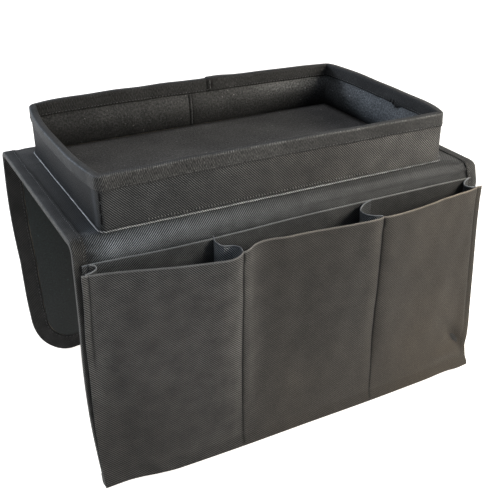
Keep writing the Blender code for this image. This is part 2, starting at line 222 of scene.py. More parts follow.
def tape_material(name, dark, mid, light):
    """Grosgrain binding tape: short fibres across its width over a faint diagonal, unevenly lit."""
    cloth = Cloth(name, 0.60, 0.05, 0.14)
    squeezed = cloth.vector("MULTIPLY", cloth.place, (1.0, 0.30, 1.0))
    fibres = cloth.noise(1500.0, 2.0, 0.65, squeezed)
    slant = (cloth.down * 0.45 + cloth.across).wave(0.00125, cloth.noise(420.0, 2.0) * 5.0)
    height = fibres * 0.78 + slant * 0.32
    tone = height * 0.80 + cloth.noise(30.0, 3.0, 0.5) * 0.28
    cloth.colour_and_painted_light(tone.ramp((0.38, dark), (0.58, mid), (0.84, light)))
    return cloth.bump(height, 0.00026)


def lining_material(name, dark, mid, light, roughness=0.42, specular=0.15):
    """Close plain weave with a coated, slightly glossy face, a mottled grain and a few specks of lint."""
    cloth = Cloth(name, roughness, 0.0, specular)
    grid = cloth.across.wave(0.00090, cloth.noise(300.0, 1.0) * 2.5) * cloth.down.wave(0.00090)
    broad = cloth.noise(20.0, 4.0, 0.55)
    height = cloth.noise(620.0, 3.0, 0.8) * 0.95 + grid * 0.25
    tone = height * 0.80 + broad * 0.24
    mix = node(cloth.tree, "Mix", data_type="RGBA")
    lint = cloth.noise(420.0, 1.0, 0.4).ramp((0.745, (0, 0, 0)), (0.785, (1, 1, 1)))
    feed(cloth.tree, mix.inputs["Factor"], lint)
    feed(cloth.tree, mix.inputs["A"], tone.ramp((0.42, dark), (0.55, mid), (0.68, light)))
    mix.inputs["B"].default_value = (*[min(1, v * 2.4) for v in light], 1)
    cloth.colour_and_painted_light(mix.outputs["Result"])
    cloth.shine(broad * -0.20 + (roughness + 0.10))
    return cloth.bump(height, 0.00040)


def thread_material(name, dark, mid, light, sheen=0.20, specular=0.5):
    """Twisted thread, with painted shade where a stitch dives into the cloth."""
    cloth = Cloth(name, 0.60, sheen, specular)
    twist = (cloth.across + cloth.down * 0.7).wave(0.00042)
    along = cloth.across.maths("FRACT", cloth.across.maths("DIVIDE", cloth.across, 0.01))
    dive_shade = along.maths("POWER", along.maths("ABSOLUTE", along * 2.0 + -1.0), 4.0)
    tone = twist * 0.4 + cloth.noise(4000.0, 1.0) * 0.4 - dive_shade * 0.5
    feed(cloth.tree, cloth.inputs["Base Color"], tone.ramp((0.0, dark), (0.4, mid), (0.8, light)))
    return cloth.bump(twist, 0.00008)


def board_material(name):
    """Grey-brown pressed board with short fibres."""
    board = Cloth(name, 0.9)
    place = node(board.tree, "TexCoord").outputs["Object"]
    fibre = board.noise(900.0, 4.0, 0.7, place)
    tone = fibre * 0.6 + board.noise(40.0, 3.0, place=place) * 0.4
    colour = tone.ramp((0.3, (0.16, 0.13, 0.10)), (0.5, (0.28, 0.24, 0.19)), (0.7, (0.38, 0.34, 0.28)))
    feed(board.tree, board.inputs["Base Color"], colour)
    return board.bump(fibre, 0.0002)


TWILL = twill_material(
    "twill_cloth", (0.0052, 0.0052, 0.0053), (0.0198, 0.0195, 0.0189), (0.148, 0.142, 0.133))
EDGING_CLOTH = twill_material(
    "twill_edging", (0.0045, 0.0045, 0.0045), (0.0190, 0.0190, 0.0188), (0.140, 0.138, 0.131),
    pitch=0.00165, roughness=0.60)
TAPE_CLOTH = tape_material(
    "binding_tape", (0.0040, 0.0040, 0.0038), (0.0182, 0.0179, 0.0172), (0.108, 0.105, 0.099))
LINING_CLOTH = lining_material(
    "lining_cloth", (0.0063, 0.0063, 0.0062), (0.0183, 0.0180, 0.0174), (0.0535, 0.0525, 0.0504))
UNDERSIDE = lining_material(
    "coated_underside", (0.0006, 0.0015, 0.0015), (0.0026, 0.0056, 0.0056), (0.0090, 0.0172, 0.0172),
    roughness=0.40, specular=0.40)
THREAD = thread_material(
    "sewing_thread", (0.006, 0.006, 0.006), (0.100, 0.099, 0.095), (0.240, 0.235, 0.225))
DULL_THREAD = thread_material(
    "dull_thread", (0.002, 0.002, 0.002), (0.013, 0.0138, 0.0138), (0.038, 0.0400, 0.0400))
DARK_THREAD = thread_material(
    "dark_thread", (0.0008, 0.0008, 0.001), (0.0025, 0.0025, 0.0032), (0.010, 0.010, 0.012),
    sheen=0.0, specular=0.10)
BOARD_FACE = board_material("stiffener_board")


# Meshes

def add_object(name, data):
    made = bpy.data.objects.new(name, data)
    bpy.context.scene.collection.objects.link(made)
    return made


def finish_mesh(name, points, faces, places, material, sharp=40, **marks):
    """An object from points, quads and their places on the cloth, with faces turned outwards."""
    points = np.asarray(points, float)
    faces = np.asarray(faces, int)
    first, second, third, fourth = (points[faces[:, i]] for i in range(4))
    volume = (first * np.cross(second, third)).sum() + (first * np.cross(third, fourth)).sum()
    if volume < 0:
        faces, places = faces[:, ::-1], places[:, ::-1]
    mesh = bpy.data.meshes.new(name)
    mesh.from_pydata(points.tolist(), [], faces.tolist())
    layer = mesh.uv_layers.new(name="weave")
    layer.data.foreach_set("uv", np.ascontiguousarray(places, np.float32).ravel())
    for label, values in marks.items():
        mark = mesh.attributes.new(label, "FLOAT", "POINT")
        mark.data.foreach_set("value", np.ravel(values).astype(np.float32))
    mesh.materials.append(material)
    mesh.shade_smooth()
    mesh.set_sharp_from_angle(angle=radians(sharp))
    return add_object(name, mesh)


def loft(name, rings, places, material, closed=False, sharp=40, **marks):
    """A closed skin through stations of one section, whose points pair up from both of its ends.

    rings is stations x section points x 3. places is stations x section points x 2, with one station more
    if the loft is closed.
    """
    stations, count = rings.shape[:2]
    spans = stations if closed else stations - 1
    a, k = np.meshgrid(np.arange(spans), np.arange(count), indexing="ij")
    a, k = a.ravel(), k.ravel()
    station = np.stack([a, a + 1, a + 1, a], -1)
    around = np.stack([k, k, (k + 1) % count, (k + 1) % count], -1)
    if not closed:
        i = np.arange(count // 2 - 1)
        cap = np.stack([i, i + 1, count - 2 - i, count - 1 - i], -1)
        station = np.concatenate([station, np.zeros_like(cap), np.full_like(cap, stations - 1)])
        around = np.concatenate([around, cap, cap[:, ::-1]])
    uv = places[station, around]
    faces = (station % stations) * count + around
    return finish_mesh(name, rings.reshape(-1, 3), faces, uv, material, sharp, **marks)


def sheet_rings(outer, inner, cap=None):
    """Columns x rows grids of a sheet's two faces as closed sections, one for each column.

    cap rounds the first row's edge over: its value is how far the edge stands out past that row.
    """
    parts = [outer, inner[:, ::-1]]
    if cap is not None:
        ahead = unit(outer[:, 0] - outer[:, 1])
        middle, half = (outer[:, 0] + inner[:, 0]) / 2, (outer[:, 0] - inner[:, 0]) / 2
        turns = np.linspace(0, pi / 2, 4)[1:]
        rise = [middle + half * cos(t) + ahead * (cap * sin(t)) for t in turns[:-1]]
        fall = [middle - half * cos(t) + ahead * (cap * sin(t)) for t in turns[:-1]]
        tip = middle + ahead * cap
        first = np.stack([tip, *rise[::-1]], 1)
        last = np.stack([*fall, tip + ahead * 1e-6], 1)
        parts = [first, outer, inner[:, ::-1], last]
    return np.concatenate(parts, axis=1)


def spread_like(values, cap=None, step=0.0):
    """Cloth places or marks in the order of sheet_rings' points. A pair has its own marks for each face."""
    face, back = values if isinstance(values, tuple) else (values, values)
    parts = [face, back[:, ::-1]]
    if cap is not None:
        first, last = (np.concatenate([side[:, :1] - np.multiply(step, n) for n in (3, 2, 1)], axis=1)
                       for side in (face, back))
        parts = [first, *parts, last[:, ::-1]]
    return np.concatenate(parts, axis=1)


def grid_sheet(name, outer, inner, across, down, material, cap=None, flip=False, **marks):
    """A sheet of cloth from two grids of columns x rows x 3, with its cloth places in metres."""
    places = np.stack([(-across if flip else across), down], -1)
    rings = sheet_rings(outer, inner, cap)
    marks = {label: spread_like(values, cap) for label, values in marks.items()}
    return loft(name, rings, spread_like(places, cap, (0.0, 0.0004)), material, **marks)


def hermite(at, places, values):
    """A smooth curve through a table, without new bumps between its points."""
    places, values = np.asarray(places, float), np.asarray(values, float)
    step = np.diff(places)
    slope = np.diff(values) / step
    tangent = np.concatenate([slope[:1], (slope[:-1] + slope[1:]) / 2, slope[-1:]])
    flat = slope[:-1] * slope[1:] <= 0
    tangent[1:-1][flat] = 0
    limit = 3 * np.minimum(np.abs(slope[:-1]), np.abs(slope[1:]))
    tangent[1:-1] = np.clip(tangent[1:-1], -limit, limit)
    at = np.clip(at, places[0], places[-1])
    i = np.clip(np.searchsorted(places, at) - 1, 0, len(step) - 1)
    t = (at - places[i]) / step[i]
    h = step[i]
    return ((2 * t**3 - 3 * t**2 + 1) * values[i] + (t**3 - 2 * t**2 + t) * h * tangent[i]
            + (3 * t**2 - 2 * t**3) * values[i + 1] + (t**3 - t**2) * h * tangent[i + 1])


def ripple(a, b, seed, size, waves=9):
    """Soft unevenness from -1 to 1 over two coordinates in metres, with waves about size long."""
    rng = np.random.default_rng(seed)
    total = np.zeros(np.broadcast(a, b).shape)
    for _ in range(waves):
        angle, length = rng.uniform(0, 2 * pi), size * rng.uniform(0.6, 1.7)
        total += np.cos(2 * pi / length * (a * cos(angle) + b * sin(angle)) + rng.uniform(0, 2 * pi))
    return total / waves ** 0.5 / 1.6


def unit(vectors):
    return vectors / np.linalg.norm(vectors, axis=-1, keepdims=True)


def lengths(points):
    """The distance to each point along the line through them."""
    return np.concatenate([[0], np.cumsum(np.linalg.norm(np.diff(points, axis=0), axis=1))])


def hump(value, middle, width):
    """Nearly 0 with a soft peak of 1 at the middle."""
    return np.exp(-((value - middle) / width) ** 2)


def smooth(value):
    """A smooth step from 0 to 1."""
    value = np.clip(value, 0, 1)
    return value * value * (3 - 2 * value)


def step_up(value, start, width):
    """A smooth step from 0 at the start to 1 at a width past it."""
    return smooth((value - start) / width)


def step_down(value, end, width):
    """A smooth step from 1 at a width before the end to 0 at the end."""
    return smooth((end - value) / width)


# Saddle profiles: the outer face by distance past the start of a fold, as points and outward normals

def front_profile(s):
    s = np.asarray(s, float)
    bend = np.clip(s / FOLD_RADIUS, 0, pi / 2)
    turn = np.maximum(s - FRONT_ARC, 0) / FLARE_RADIUS
    y = -FOLD_Y + np.maximum(-s, 0) - FOLD_RADIUS * np.sin(bend) - FLARE_RADIUS * (1 - np.cos(turn))
    z = FOLD_Z + FOLD_RADIUS * np.cos(bend) - FLARE_RADIUS * np.sin(turn)
    ny = np.where(s > FRONT_ARC, -np.cos(turn), -np.sin(bend))
    nz = np.where(s > FRONT_ARC, np.sin(turn), np.cos(bend))
    return y, z, ny, nz


def rear_profile(s):
    s = np.asarray(s, float)
    bend = np.clip(s / FOLD_RADIUS, 0, pi / 2 + FLAP_LEAN)
    down = np.maximum(s - REAR_ARC, 0)
    y = FOLD_Y - np.maximum(-s, 0) + FOLD_RADIUS * np.sin(bend) - down * sin(FLAP_LEAN)
    z = FOLD_Z + FOLD_RADIUS * np.cos(bend) - down * cos(FLAP_LEAN)
    return y, z, np.sin(bend), np.cos(bend)


FOOT_PLACES = (0, 0.05, 0.08, 0.12, 0.17, 0.30, 0.50, 0.68, 0.78, 0.86, 0.93, 0.96, 1)
FOOT_SHIFTS = (-0.9, -1.1, -0.2, 2.0, 3.3, 3.6, 3.0, 2.5, 2.1, 1.3, 0.1, 0.4, -0.5)
FOOT_LIFTS = (1.9, 2.1, 1.8, 0.9, 0, 0, 0.4, 0.6, 1.2, 1.5, 2.1, 1.5, 1.9)
LEFT_PLACES = (0, 0.10, 0.33, 0.54, 0.72, 0.85, 0.95, 1)
LEFT_HOLLOWS = (0, 0.2, 2.8, 4.2, 4.4, 2.6, 0.6, 0)


def along_share(x):
    return np.clip((x + HALF_LENGTH) / PANEL_LENGTH, 0, 1)


def drop_shift(x, s):
    """How far the front drop stands proud of its plain curve: its ends are hollow and its foot waves."""
    down = np.clip((s - FRONT_ARC) / DROP_LENGTH, 0, 1)
    foot = hermite(along_share(x), FOOT_PLACES, FOOT_SHIFTS) / 1000
    hollow = hermite(down, LEFT_PLACES, LEFT_HOLLOWS) / 1000 * hump(along_share(x), 0, 0.13)
    return foot * down ** 3 - hollow


def drop_lift(x, s):
    """How far the foot of the front drop is lifted off the floor at its ends."""
    down = np.clip((s - FRONT_ARC) / DROP_LENGTH, 0, 1)
    return hermite(along_share(x), FOOT_PLACES, FOOT_LIFTS) / 1000 * down ** 4


def end_sag(x):
    """The flat top droops past the tray, more at its right end."""
    return 0.0046 * step_up(x, 0.129, 0.036) + 0.0008 * step_up(-x, 0.142, 0.023)


def loose_end(x, s):
    """The layers' ends lie further out: half way down the drop at the left, under the fold at the right."""
    down = np.clip((s - FRONT_ARC) / DROP_LENGTH, 0, 1)
    left = smooth(1 - (x + HALF_LENGTH) / 0.03) * np.sin(pi * np.clip((down - 0.3) / 0.66, 0, 1))
    right = smooth(1 - (HALF_LENGTH - x) / 0.06) * step_up(s, 0.012, 0.017) * step_down(s, 0.080, 0.03)
    return x - 0.0014 * left + 0.0038 * right


def front_points(x, s, height):
    """Points over the saddle's front half, height outwards from the cover's outer face."""
    y, z, ny, nz = front_profile(s)
    proud = height + drop_shift(x, s)
    sag = end_sag(x) * (1 - smooth(s / FRONT_ARC))
    return np.stack([x + 0 * s, y + ny * proud - 0.25 * end_sag(x) * hump(s, FRONT_ARC, 0.009),
                     z + nz * proud + drop_lift(x, s) - sag], -1)


def rear_points(x, s, height):
    """Points over the saddle's rear half, whose flap hangs in towards the front at its foot."""
    y, z, ny, nz = rear_profile(s)
    down = np.clip((s - REAR_ARC) / FLAP_LENGTH, 0, 1)
    sag = end_sag(x) * (1 - smooth(s / REAR_ARC))
    left = smooth(1 - (x + HALF_LENGTH) / 0.06)
    shift = left * (-0.0015 * np.sin(pi * np.clip(down / 0.5, 0, 1)) + 0.0011 * hump(down, 0.84, 0.09))
    curl = 0.0042 * down ** 2.5 + 0.0026 * hump(x + HALF_LENGTH, 0.026, 0.010) * down ** 6
    return np.stack([x + shift, y + ny * height - curl, z + nz * height - sag + 0 * x], -1)


def flap_half(s, inset=0.0):
    """Half the rear flap's length at a place down its profile, narrower round its lower corners."""
    corner = FLAP_CORNER - inset
    below = np.clip(s - REAR_ARC - (FLAP_LENGTH - FLAP_CORNER), 0, corner)
    return HALF_LENGTH - FLAP_CORNER + np.sqrt(np.maximum(corner ** 2 - below ** 2, 0))


def settle(piece, bodies, slot, *nodes):
    """Puts a piece on its body, or across a joint, in the place of its CAD nodes, which it hides. slot is
    not used.
    """
    if isinstance(bodies, str):
        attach(piece, bodies)
    else:
        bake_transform(piece)
    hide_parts(*nodes)


def fold_joint(flap, side, depth):
    """The bodies of a fold, and the two ends of the bend for cloth at a depth under the cover's face."""
    return ("top", flap, (0, side * FOLD_Y, STACK - depth),
            (0, side * (FOLD_Y + FOLD_RADIUS - depth), FOLD_Z))


FRONT_EDGE = fold_joint("front_panel", -1, EDGING_DEPTH)
REAR_EDGE = fold_joint("rear_flap", 1, EDGING_DEPTH)


def front_rows(foot):
    return np.concatenate([np.linspace(-FOLD_Y - TOP_SPLIT, -0.0015, 26), np.linspace(0, FRONT_ARC, 13),
                           np.linspace(FRONT_ARC + 0.002, FRONT_ARC + foot, 46)])


def rear_rows(foot, corner):
    straight = REAR_ARC + FLAP_LENGTH - FLAP_CORNER
    round_part = straight + corner * np.sin(np.linspace(0, pi / 2, 13)[1:])
    round_part = np.minimum(round_part, REAR_ARC + foot)
    return np.concatenate([np.linspace(TOP_SPLIT - FOLD_Y, -0.0015, 12), np.linspace(0, REAR_ARC, 13),
                           np.linspace(REAR_ARC + 0.002, straight, 34), round_part])


def saddle_relief(x, s):
    """Unevenness of the cover: slack near the folds, puckers where it meets the ends."""
    slack = 0.00022 * ripple(x, s, 3, 0.045) + 0.00010 * ripple(x, s, 4, 0.014)
    fold = hump(s, 0.010, 0.016)
    slack = slack + 0.00022 * ripple(0.16 * x, s, 5, 0.0075) * fold * smooth((along_share(x) - 0.35) / 0.3)
    end = hump(np.abs(x), HALF_LENGTH - 0.012, 0.010)
    pucker = 0.00050 * fold * end * np.sin(2 * pi * s / 0.0075 + 3 * np.abs(x) / 0.01)
    pucker = pucker - 0.0009 * hump(x, 0.0135 - HALF_LENGTH, 0.0045) * hump(s, 0.0175, 0.0040)
    return slack * (0.5 + 0.8 * fold) + pucker + 0.0002


def fold_tint(x, s):
    """Painted highlight along the top of the fold, painted shade next to the edging, in a small hollow, in
    the creases and two lines at the right, painted light and shade on the flat top, and a mottled tone at
    the left end.
    """
    start = smooth((x + HALF_LENGTH - 0.010) / 0.020)
    # Painted highlight along the top of the fold.
    crest_highlight = (1.66 - 1.05 * along_share(x)) * hump(s, 0.0148, 0.0085) * start
    crest_highlight = crest_highlight * (1 + 0.20 * ripple(x, s, 8, 0.02))
    # Painted shade in a small hollow at the left end, next to the edging, in the creases at the right end
    # and in two lines over the right half.
    dimple_shade = 0.55 * hump(x, 0.0135 - HALF_LENGTH, 0.0040) * hump(s, 0.0175, 0.0040)
    shade_beside = (0.38 + 0.2 * (x > 0)) * hump(np.abs(x), HALF_LENGTH - EDGING - 0.0006, 0.0014)
    reach = step_up(x, 0.136, 0.016) * (x < HALF_LENGTH - EDGING + 0.001)
    creases = sum(hump(s - at - slope * (0.155 - x), 0, 0.0009)
                  for at, slope in ((0.0185, -0.16), (0.0155, -0.42), (0.0125, -0.75)))
    right = smooth((along_share(x) - 0.45) / 0.2)
    wander = 0.0012 * ripple(x, 0, 12, 0.05)
    streak_shade = 0.50 * hump(s - wander, 0.0070, 0.0013) + 0.42 * hump(s + wander, 0.0150, 0.0011)
    # Painted light and shade on the ends of the flat top and painted light in front of the tray; a random
    # mottled tone at the left end.
    left_top_light_and_shade = 0.46 * step_down(x, -0.140, 0.006) * step_up(s, -0.095, 0.05) * smooth(-s / 0.01)
    left_top_light_and_shade = left_top_light_and_shade - 0.42 * step_down(s, -0.105, 0.03) * step_up(-x, 0.13, 0.02)
    right_top_light = 0.20 * step_up(x, 0.138, 0.006) * smooth(-s / 0.01)
    strip_light = 0.24 * step_down(x, 0.01, 0.06) * step_up(x, -0.150, 0.01) * hump(s, -0.004, 0.010)
    matted = 0.42 * ripple(x, s, 9, 0.0055) * hump(x, -HALF_LENGTH, 0.030) * step_up(s, -0.03, 0.03)
    dark = shade_beside + dimple_shade + 0.95 * reach * creases + right * streak_shade + left_top_light_and_shade
    return crest_highlight + matted + right_top_light + strip_light - dark


def make_saddle():
    """The cover and the lining of both halves, and the stiffeners between them, which follow the cloth."""
    inner = HALF_LENGTH - WRAP
    lined = HALF_LENGTH - EDGING - GAP
    halves = {
        "front": (front_points, "front_panel", -1, FOLD_Y + TOP_SPLIT + FRONT_ARC + DROP_LENGTH,
                  ("top", "front_fold", "front_drop")),
        "rear": (rear_points, "rear_flap", 1, FOLD_Y - TOP_SPLIT + REAR_ARC + FLAP_LENGTH,
                 ("rear_fold", "rear_flap"))}

    def skin(half, kind, x, s, upper, lower, **marks):
        """One half's cover or lining, between two heights over the cover's plain face."""
        points, flap, side, length, parts = halves[half]
        if kind == "cover":
            material, slot, depth, width = TWILL, "twill_cloth", 0, COVER_WIDTH
        else:
            material, slot, depth, width = UNDERSIDE, "lining_cloth", STACK, LINING_WIDTH
        piece = grid_sheet(f"saddle_{half}_{kind}", points(x, s, upper), points(x, s, lower), x, s,
                           material, flip=kind == "cover", **marks)
        settle(piece, fold_joint(flap, side, depth), slot, *[f"{part}_{kind}" for part in parts])

    def stiffener(body, node_name, upper, lower, x, y):
        piece = grid_sheet(node_name.replace("board", "stiffener"), upper, lower, x, y, BOARD_FACE)
        settle(piece, body, "stiffener_board", node_name)

    y, x = np.meshgrid(np.linspace(-FOLD_Y + 0.001, FOLD_Y - 0.001, 45),
                       np.linspace(-inner + 0.003, inner - 0.003, 61))
    depth = STACK - COVER - GAP - end_sag(x)
    stiffener("top", "top_board", np.stack([x, y, depth], -1), np.stack([x, y, depth - BOARD], -1), x, y)
    s, x = np.meshgrid(FRONT_ARC + np.linspace(0.004, DROP_LENGTH - WRAP, 40),
                       np.linspace(-inner, inner, 61))
    stiffener("front_panel", "front_drop_board", front_points(x, s, -COVER - GAP),
              front_points(x, s, -COVER - GAP - BOARD), x, s)
    slim = WRAP + 0.0004
    rows = rear_rows(FLAP_LENGTH - slim, FLAP_CORNER - slim)
    s, u = np.meshgrid(rows[rows > REAR_ARC + 0.003], np.linspace(-1, 1, 111))
    x = u * np.minimum(flap_half(s, slim), inner - 0.0004)
    stiffener("rear_flap", "rear_flap_board", rear_points(x, s, -COVER - GAP),
              rear_points(x, s, -COVER - GAP - BOARD), x, s)

    s, x = np.meshgrid(front_rows(DROP_LENGTH - WRAP), np.linspace(-inner, inner, 111))
    tint = fold_tint(x, s)
    share = along_share(x)
    even = hump(s, 0.013, 0.014) * (1.15 * smooth(share / 0.7) - 0.50)
    even = even + (0.50 - 0.25 * smooth(share / 0.6)) * step_down(s, -0.004, 0.012)
    # Painted cool light: bluish from the front of the top over the fold and the drop, most at the left.
    warm = (-1.15 + 0.75 * smooth(share / 0.7)) * step_up(s, -0.03, 0.015)
    x = loose_end(x, s)
    skin("front", "cover", x, s, np.maximum(saddle_relief(x, s), -0.0005), -COVER, tint=tint, even=even,
         warm=warm)
    s, u = np.meshgrid(rear_rows(FLAP_LENGTH - WRAP, FLAP_CORNER - WRAP), np.linspace(-1, 1, 111))
    x = u * np.minimum(flap_half(s, WRAP), inner)
    lit_end = smooth((s + FOLD_Y) / 0.06) * smooth(0.5 - s / 0.02) * step_up(-x, 0.13, 0.02)
    skin("rear", "cover", x, s, np.maximum(saddle_relief(x, s), -0.0002), -COVER, tint=0.45 * lit_end,
         even=(0.50 - 0.25 * smooth(along_share(x) / 0.6)) * step_down(s, -0.004, 0.012))
    s, x = np.meshgrid(front_rows(DROP_LENGTH - WRAP), np.linspace(-lined, lined, 61))
    x = loose_end(x, s)
    skin("front", "lining", x, s, -STACK, -LINING_TOP - 0.00012 * (1 + ripple(x, s, 7, 0.05)) + 0.0002)
    inset = FLAP_EDGING + GAP
    s, u = np.meshgrid(rear_rows(FLAP_LENGTH - inset, FLAP_CORNER - inset), np.linspace(-1, 1, 61))
    narrow = smooth((s - 0.2 * REAR_ARC) / (0.8 * REAR_ARC))
    x = u * np.minimum(flap_half(s, inset), lined - (inset - EDGING - GAP) * narrow)
    shade = -0.85 * step_up(x, -0.145, 0.04) * smooth(-x / 0.05) + 0.30 * ripple(x, 0.6 * s, 15, 0.035)
    skin("rear", "lining", x, s, -STACK, -LINING_TOP, tint=0.35 + shade)


def tape_section(width):
    """A tape folded round an edge, as inward distance and depth: its outer face, then its inner face."""
    radius = 0.0011
    turns = np.linspace(0, pi / 2, 5)
    leg = [width * f + radius * (1 - f) for f in (1, 0.8, 0.5, 0.2)]

    def face(reach):
        inside = radius - reach
        points = [(e, -WRAP + inside) for e in leg]
        points += [(radius - reach * sin(t), -WRAP + radius - reach * cos(t)) for t in turns]
        points += [(radius - reach * cos(t), STACK - radius + reach * sin(t)) for t in turns]
        return np.array(points + [(e, STACK - inside) for e in leg[::-1]])

    return face(radius), face(radius - TAPE)


def sweep_tape(name, origin, inwards, depths, widths, material):
    """A folded tape along stations, each with the edge's outer corner, an inward and a depth direction."""
    rings, places, tints = [], [], []
    run = lengths(origin)
    # Strength of the painted highlight along the tape's folded edge, uneven along its run.
    edge_highlight = 0.50 + 0.45 * ripple(run, 0, 27, 0.02)
    for i in range(len(origin)):
        outer, inner = tape_section(widths[i])
        ring = np.concatenate([outer, inner[::-1]])
        rings.append(origin[i] + ring[:, :1] * inwards[i] + ring[:, 1:] * depths[i])
        step = lengths(outer)
        both = np.concatenate([step, step[::-1]])
        places.append(np.stack([np.full(len(both), run[i]), both], -1))
        # Painted highlight along the outer folded corner; painted shade on the inner face, along the tape's
        # inner border, in a band near the stitches, down the steep parts and on the edge's side face; a
        # random mottled tone.
        corner = edge_highlight[i] * hump(outer[:, 0], 0.0002, 0.0007) * (outer[:, 1] < 0.001)
        shade = corner - 0.30 * (outer[:, 1] > STACK * 0.8) - 0.25 * hump(outer[:, 0], widths[i], 0.0008)
        shade = shade + 0.22 * ripple(run[i], outer[:, 0] + outer[:, 1], 28, 0.012)
        face = 0.40 * hump(outer[:, 0], 0.0060, 0.0026) + 0.28 * smooth((-0.006 - origin[i][2]) / 0.012)
        shade = shade - face * (outer[:, 1] < 0.001)
        edge = hump(outer[:, 0], 0, 0.0006) * (outer[:, 1] > 0.0004)
        shade = shade - edge * (0.48 - 0.30 * ripple(run[i], 0.0, 29, 0.006))
        tints.append(np.concatenate([shade, shade[::-1]]))
    return loft(name, np.array(rings), np.array(places), material, sharp=50, tint=np.array(tints))


def stitch_row(points, normals, pitch=0.0030, length=0.0021, radius=0.00028, rise=0.00030):
    """Stitches along a line on the cloth, as a list of (points, normals) runs of five stations."""
    run = lengths(points)
    count = int((run[-1] - length) / pitch) + 1
    rows = []
    for i in range(count):
        at = i * pitch + length * np.array((0, 0.12, 0.5, 0.88, 1))
        line = np.stack([np.interp(at, run, points[:, k]) for k in range(3)], -1)
        up = unit(np.stack([np.interp(at, run, normals[:, k]) for k in range(3)], -1))
        line = line + up * (rise * np.array((-1.2, 0.15, 0.6, 0.15, -1.2)))[:, None]
        rows.append((line, up, radius))
    return rows


def stitches(name, rows, material):
    """All stitches of one body as small five-sided threads in one mesh."""
    points, faces, places = [], [], []
    reach = np.array((0.35, 0.9, 1.0, 0.9, 0.35))
    turns = 2 * pi * np.arange(5) / 5
    long, wide = 0.0025, 0.0003
    for line, up, radius in rows:
        ahead = unit(np.gradient(line, axis=0))
        side = unit(np.cross(ahead, up))
        over = np.cross(side, ahead)
        base = len(points) * 25
        turned = side[:, None] * np.cos(turns)[:, None] + over[:, None] * np.sin(turns)[:, None]
        points.append(line[:, None] + turned * (radius * reach)[:, None, None])
        for j in range(4):
            for k in range(5):
                n = (k + 1) % 5
                low, high = base + j * 5, base + j * 5 + 5
                faces.append((low + k, low + n, high + n, high + k))
                a, b, c, d = j * long, (j + 1) * long, k * wide, (k + 1) * wide
                places += [(a, c), (a, d), (b, d), (b, c)]
        for j in (0, 4):
            ring = [base + j * 5 + k for k in range(5)]
            for cap in ((ring[0], ring[1], ring[2], ring[3]), (ring[0], ring[3], ring[4])):
                faces.append(cap if j else cap[::-1])
                places += [(j * long, k * wide) for k in range(len(cap))]
    mesh = bpy.data.meshes.new(name)
    mesh.from_pydata(np.reshape(points, (-1, 3)).tolist(), [], faces)
    mesh.uv_layers.new(name="weave").data.foreach_set("uv", np.ravel(places).astype(np.float32))
    mesh.materials.append(material)
    mesh.shade_smooth()
    return add_object(name, mesh)


def edging_stitches(origin, inwards, depths, widths):
    """A row of stitches near the edging's inner border, on its outer and on its inner face."""
    rows = []
    for at, out in ((-WRAP, -1), (STACK, 1)):
        line = origin + inwards * (widths - 0.0016)[:, None] + depths * at
        rows += stitch_row(line, depths * out, pitch=0.0034)
    return rows


def make_end_tapes(threads):
    """Edging at both ends of the front half, and one tape right round the rear flap."""
    s = np.concatenate([np.linspace(-FOLD_Y - TOP_SPLIT, -0.002, 60), np.linspace(0, FRONT_ARC, 13),
                        np.linspace(FRONT_ARC + 0.002, FRONT_ARC + DROP_LENGTH - WRAP, 90)])
    for side, name in ((-1, "left"), (1, "right")):
        x = loose_end(np.full(len(s), side * HALF_LENGTH), s)
        origin = front_points(x, s, 0 * s)
        _, _, ny, nz = front_profile(s)
        inwards = unit(front_points(x - side * EDGING, s, 0 * s) - origin)
        depths = np.stack([0 * s, -ny, -nz], -1)
        widths = EDGING + 0.00030 * ripple(s, 0, 11 + side, 0.03)
        piece = sweep_tape(f"front_{name}_edging", origin, inwards, depths, widths, EDGING_CLOTH)
        settle(piece, FRONT_EDGE, "binding_tape",
               f"top_{name}_binding", f"front_fold_{name}_binding", f"front_{name}_binding")
        threads["front"] += edging_stitches(origin, inwards, depths, widths)
    # rear: down the left end, round the flap and up the right end
    plan = [(-HALF_LENGTH, v, 1.0, 0.0) for v in np.linspace(TOP_SPLIT - FOLD_Y, -0.002, 18)]
    plan += [(-HALF_LENGTH, v, 1.0, 0.0) for v in np.linspace(0, REAR_ARC, 13)]
    plan += [(-HALF_LENGTH, REAR_ARC + v, 1.0, 0.0)
             for v in np.linspace(0.002, FLAP_LENGTH - FLAP_CORNER, 60)]
    foot = REAR_ARC + FLAP_LENGTH
    plan += [(-HALF_LENGTH + FLAP_CORNER * (1 - cos(t)), foot - FLAP_CORNER * (1 - sin(t)), cos(t), -sin(t))
             for t in np.linspace(0, pi / 2, 19)[1:]]
    plan += [(v, foot, 0.0, -1.0) for v in np.linspace(-HALF_LENGTH + FLAP_CORNER, 0, 40)[1:]]
    plan = np.array(plan)
    mirror = np.array((-1, 1, -1, 1))
    plan = np.concatenate([plan, plan[-2::-1] * mirror])
    x, s, out_x, out_s = plan.T
    origin = rear_points(x, s, 0 * s)
    step = 0.002
    inwards = unit(rear_points(x + out_x * step, s + out_s * step, 0 * s) - origin)
    _, _, ny, nz = rear_profile(s)
    depths = np.stack([0 * s, -ny, -nz], -1)
    depths = unit(depths - inwards * (depths * inwards).sum(1)[:, None])
    widths = EDGING + (FLAP_EDGING - EDGING) * smooth(s / REAR_ARC)
    run = lengths(origin)
    widths = widths + 0.0003 * ripple(run, 0, 21, 0.03)
    piece = sweep_tape("rear_edging", origin, inwards, depths, widths, EDGING_CLOTH)
    settle(piece, REAR_EDGE, "binding_tape",
           "rear_fold_left_binding", "rear_fold_right_binding", "rear_flap_binding")
    threads["rear"] += edging_stitches(origin, inwards, depths, widths)


# Pockets

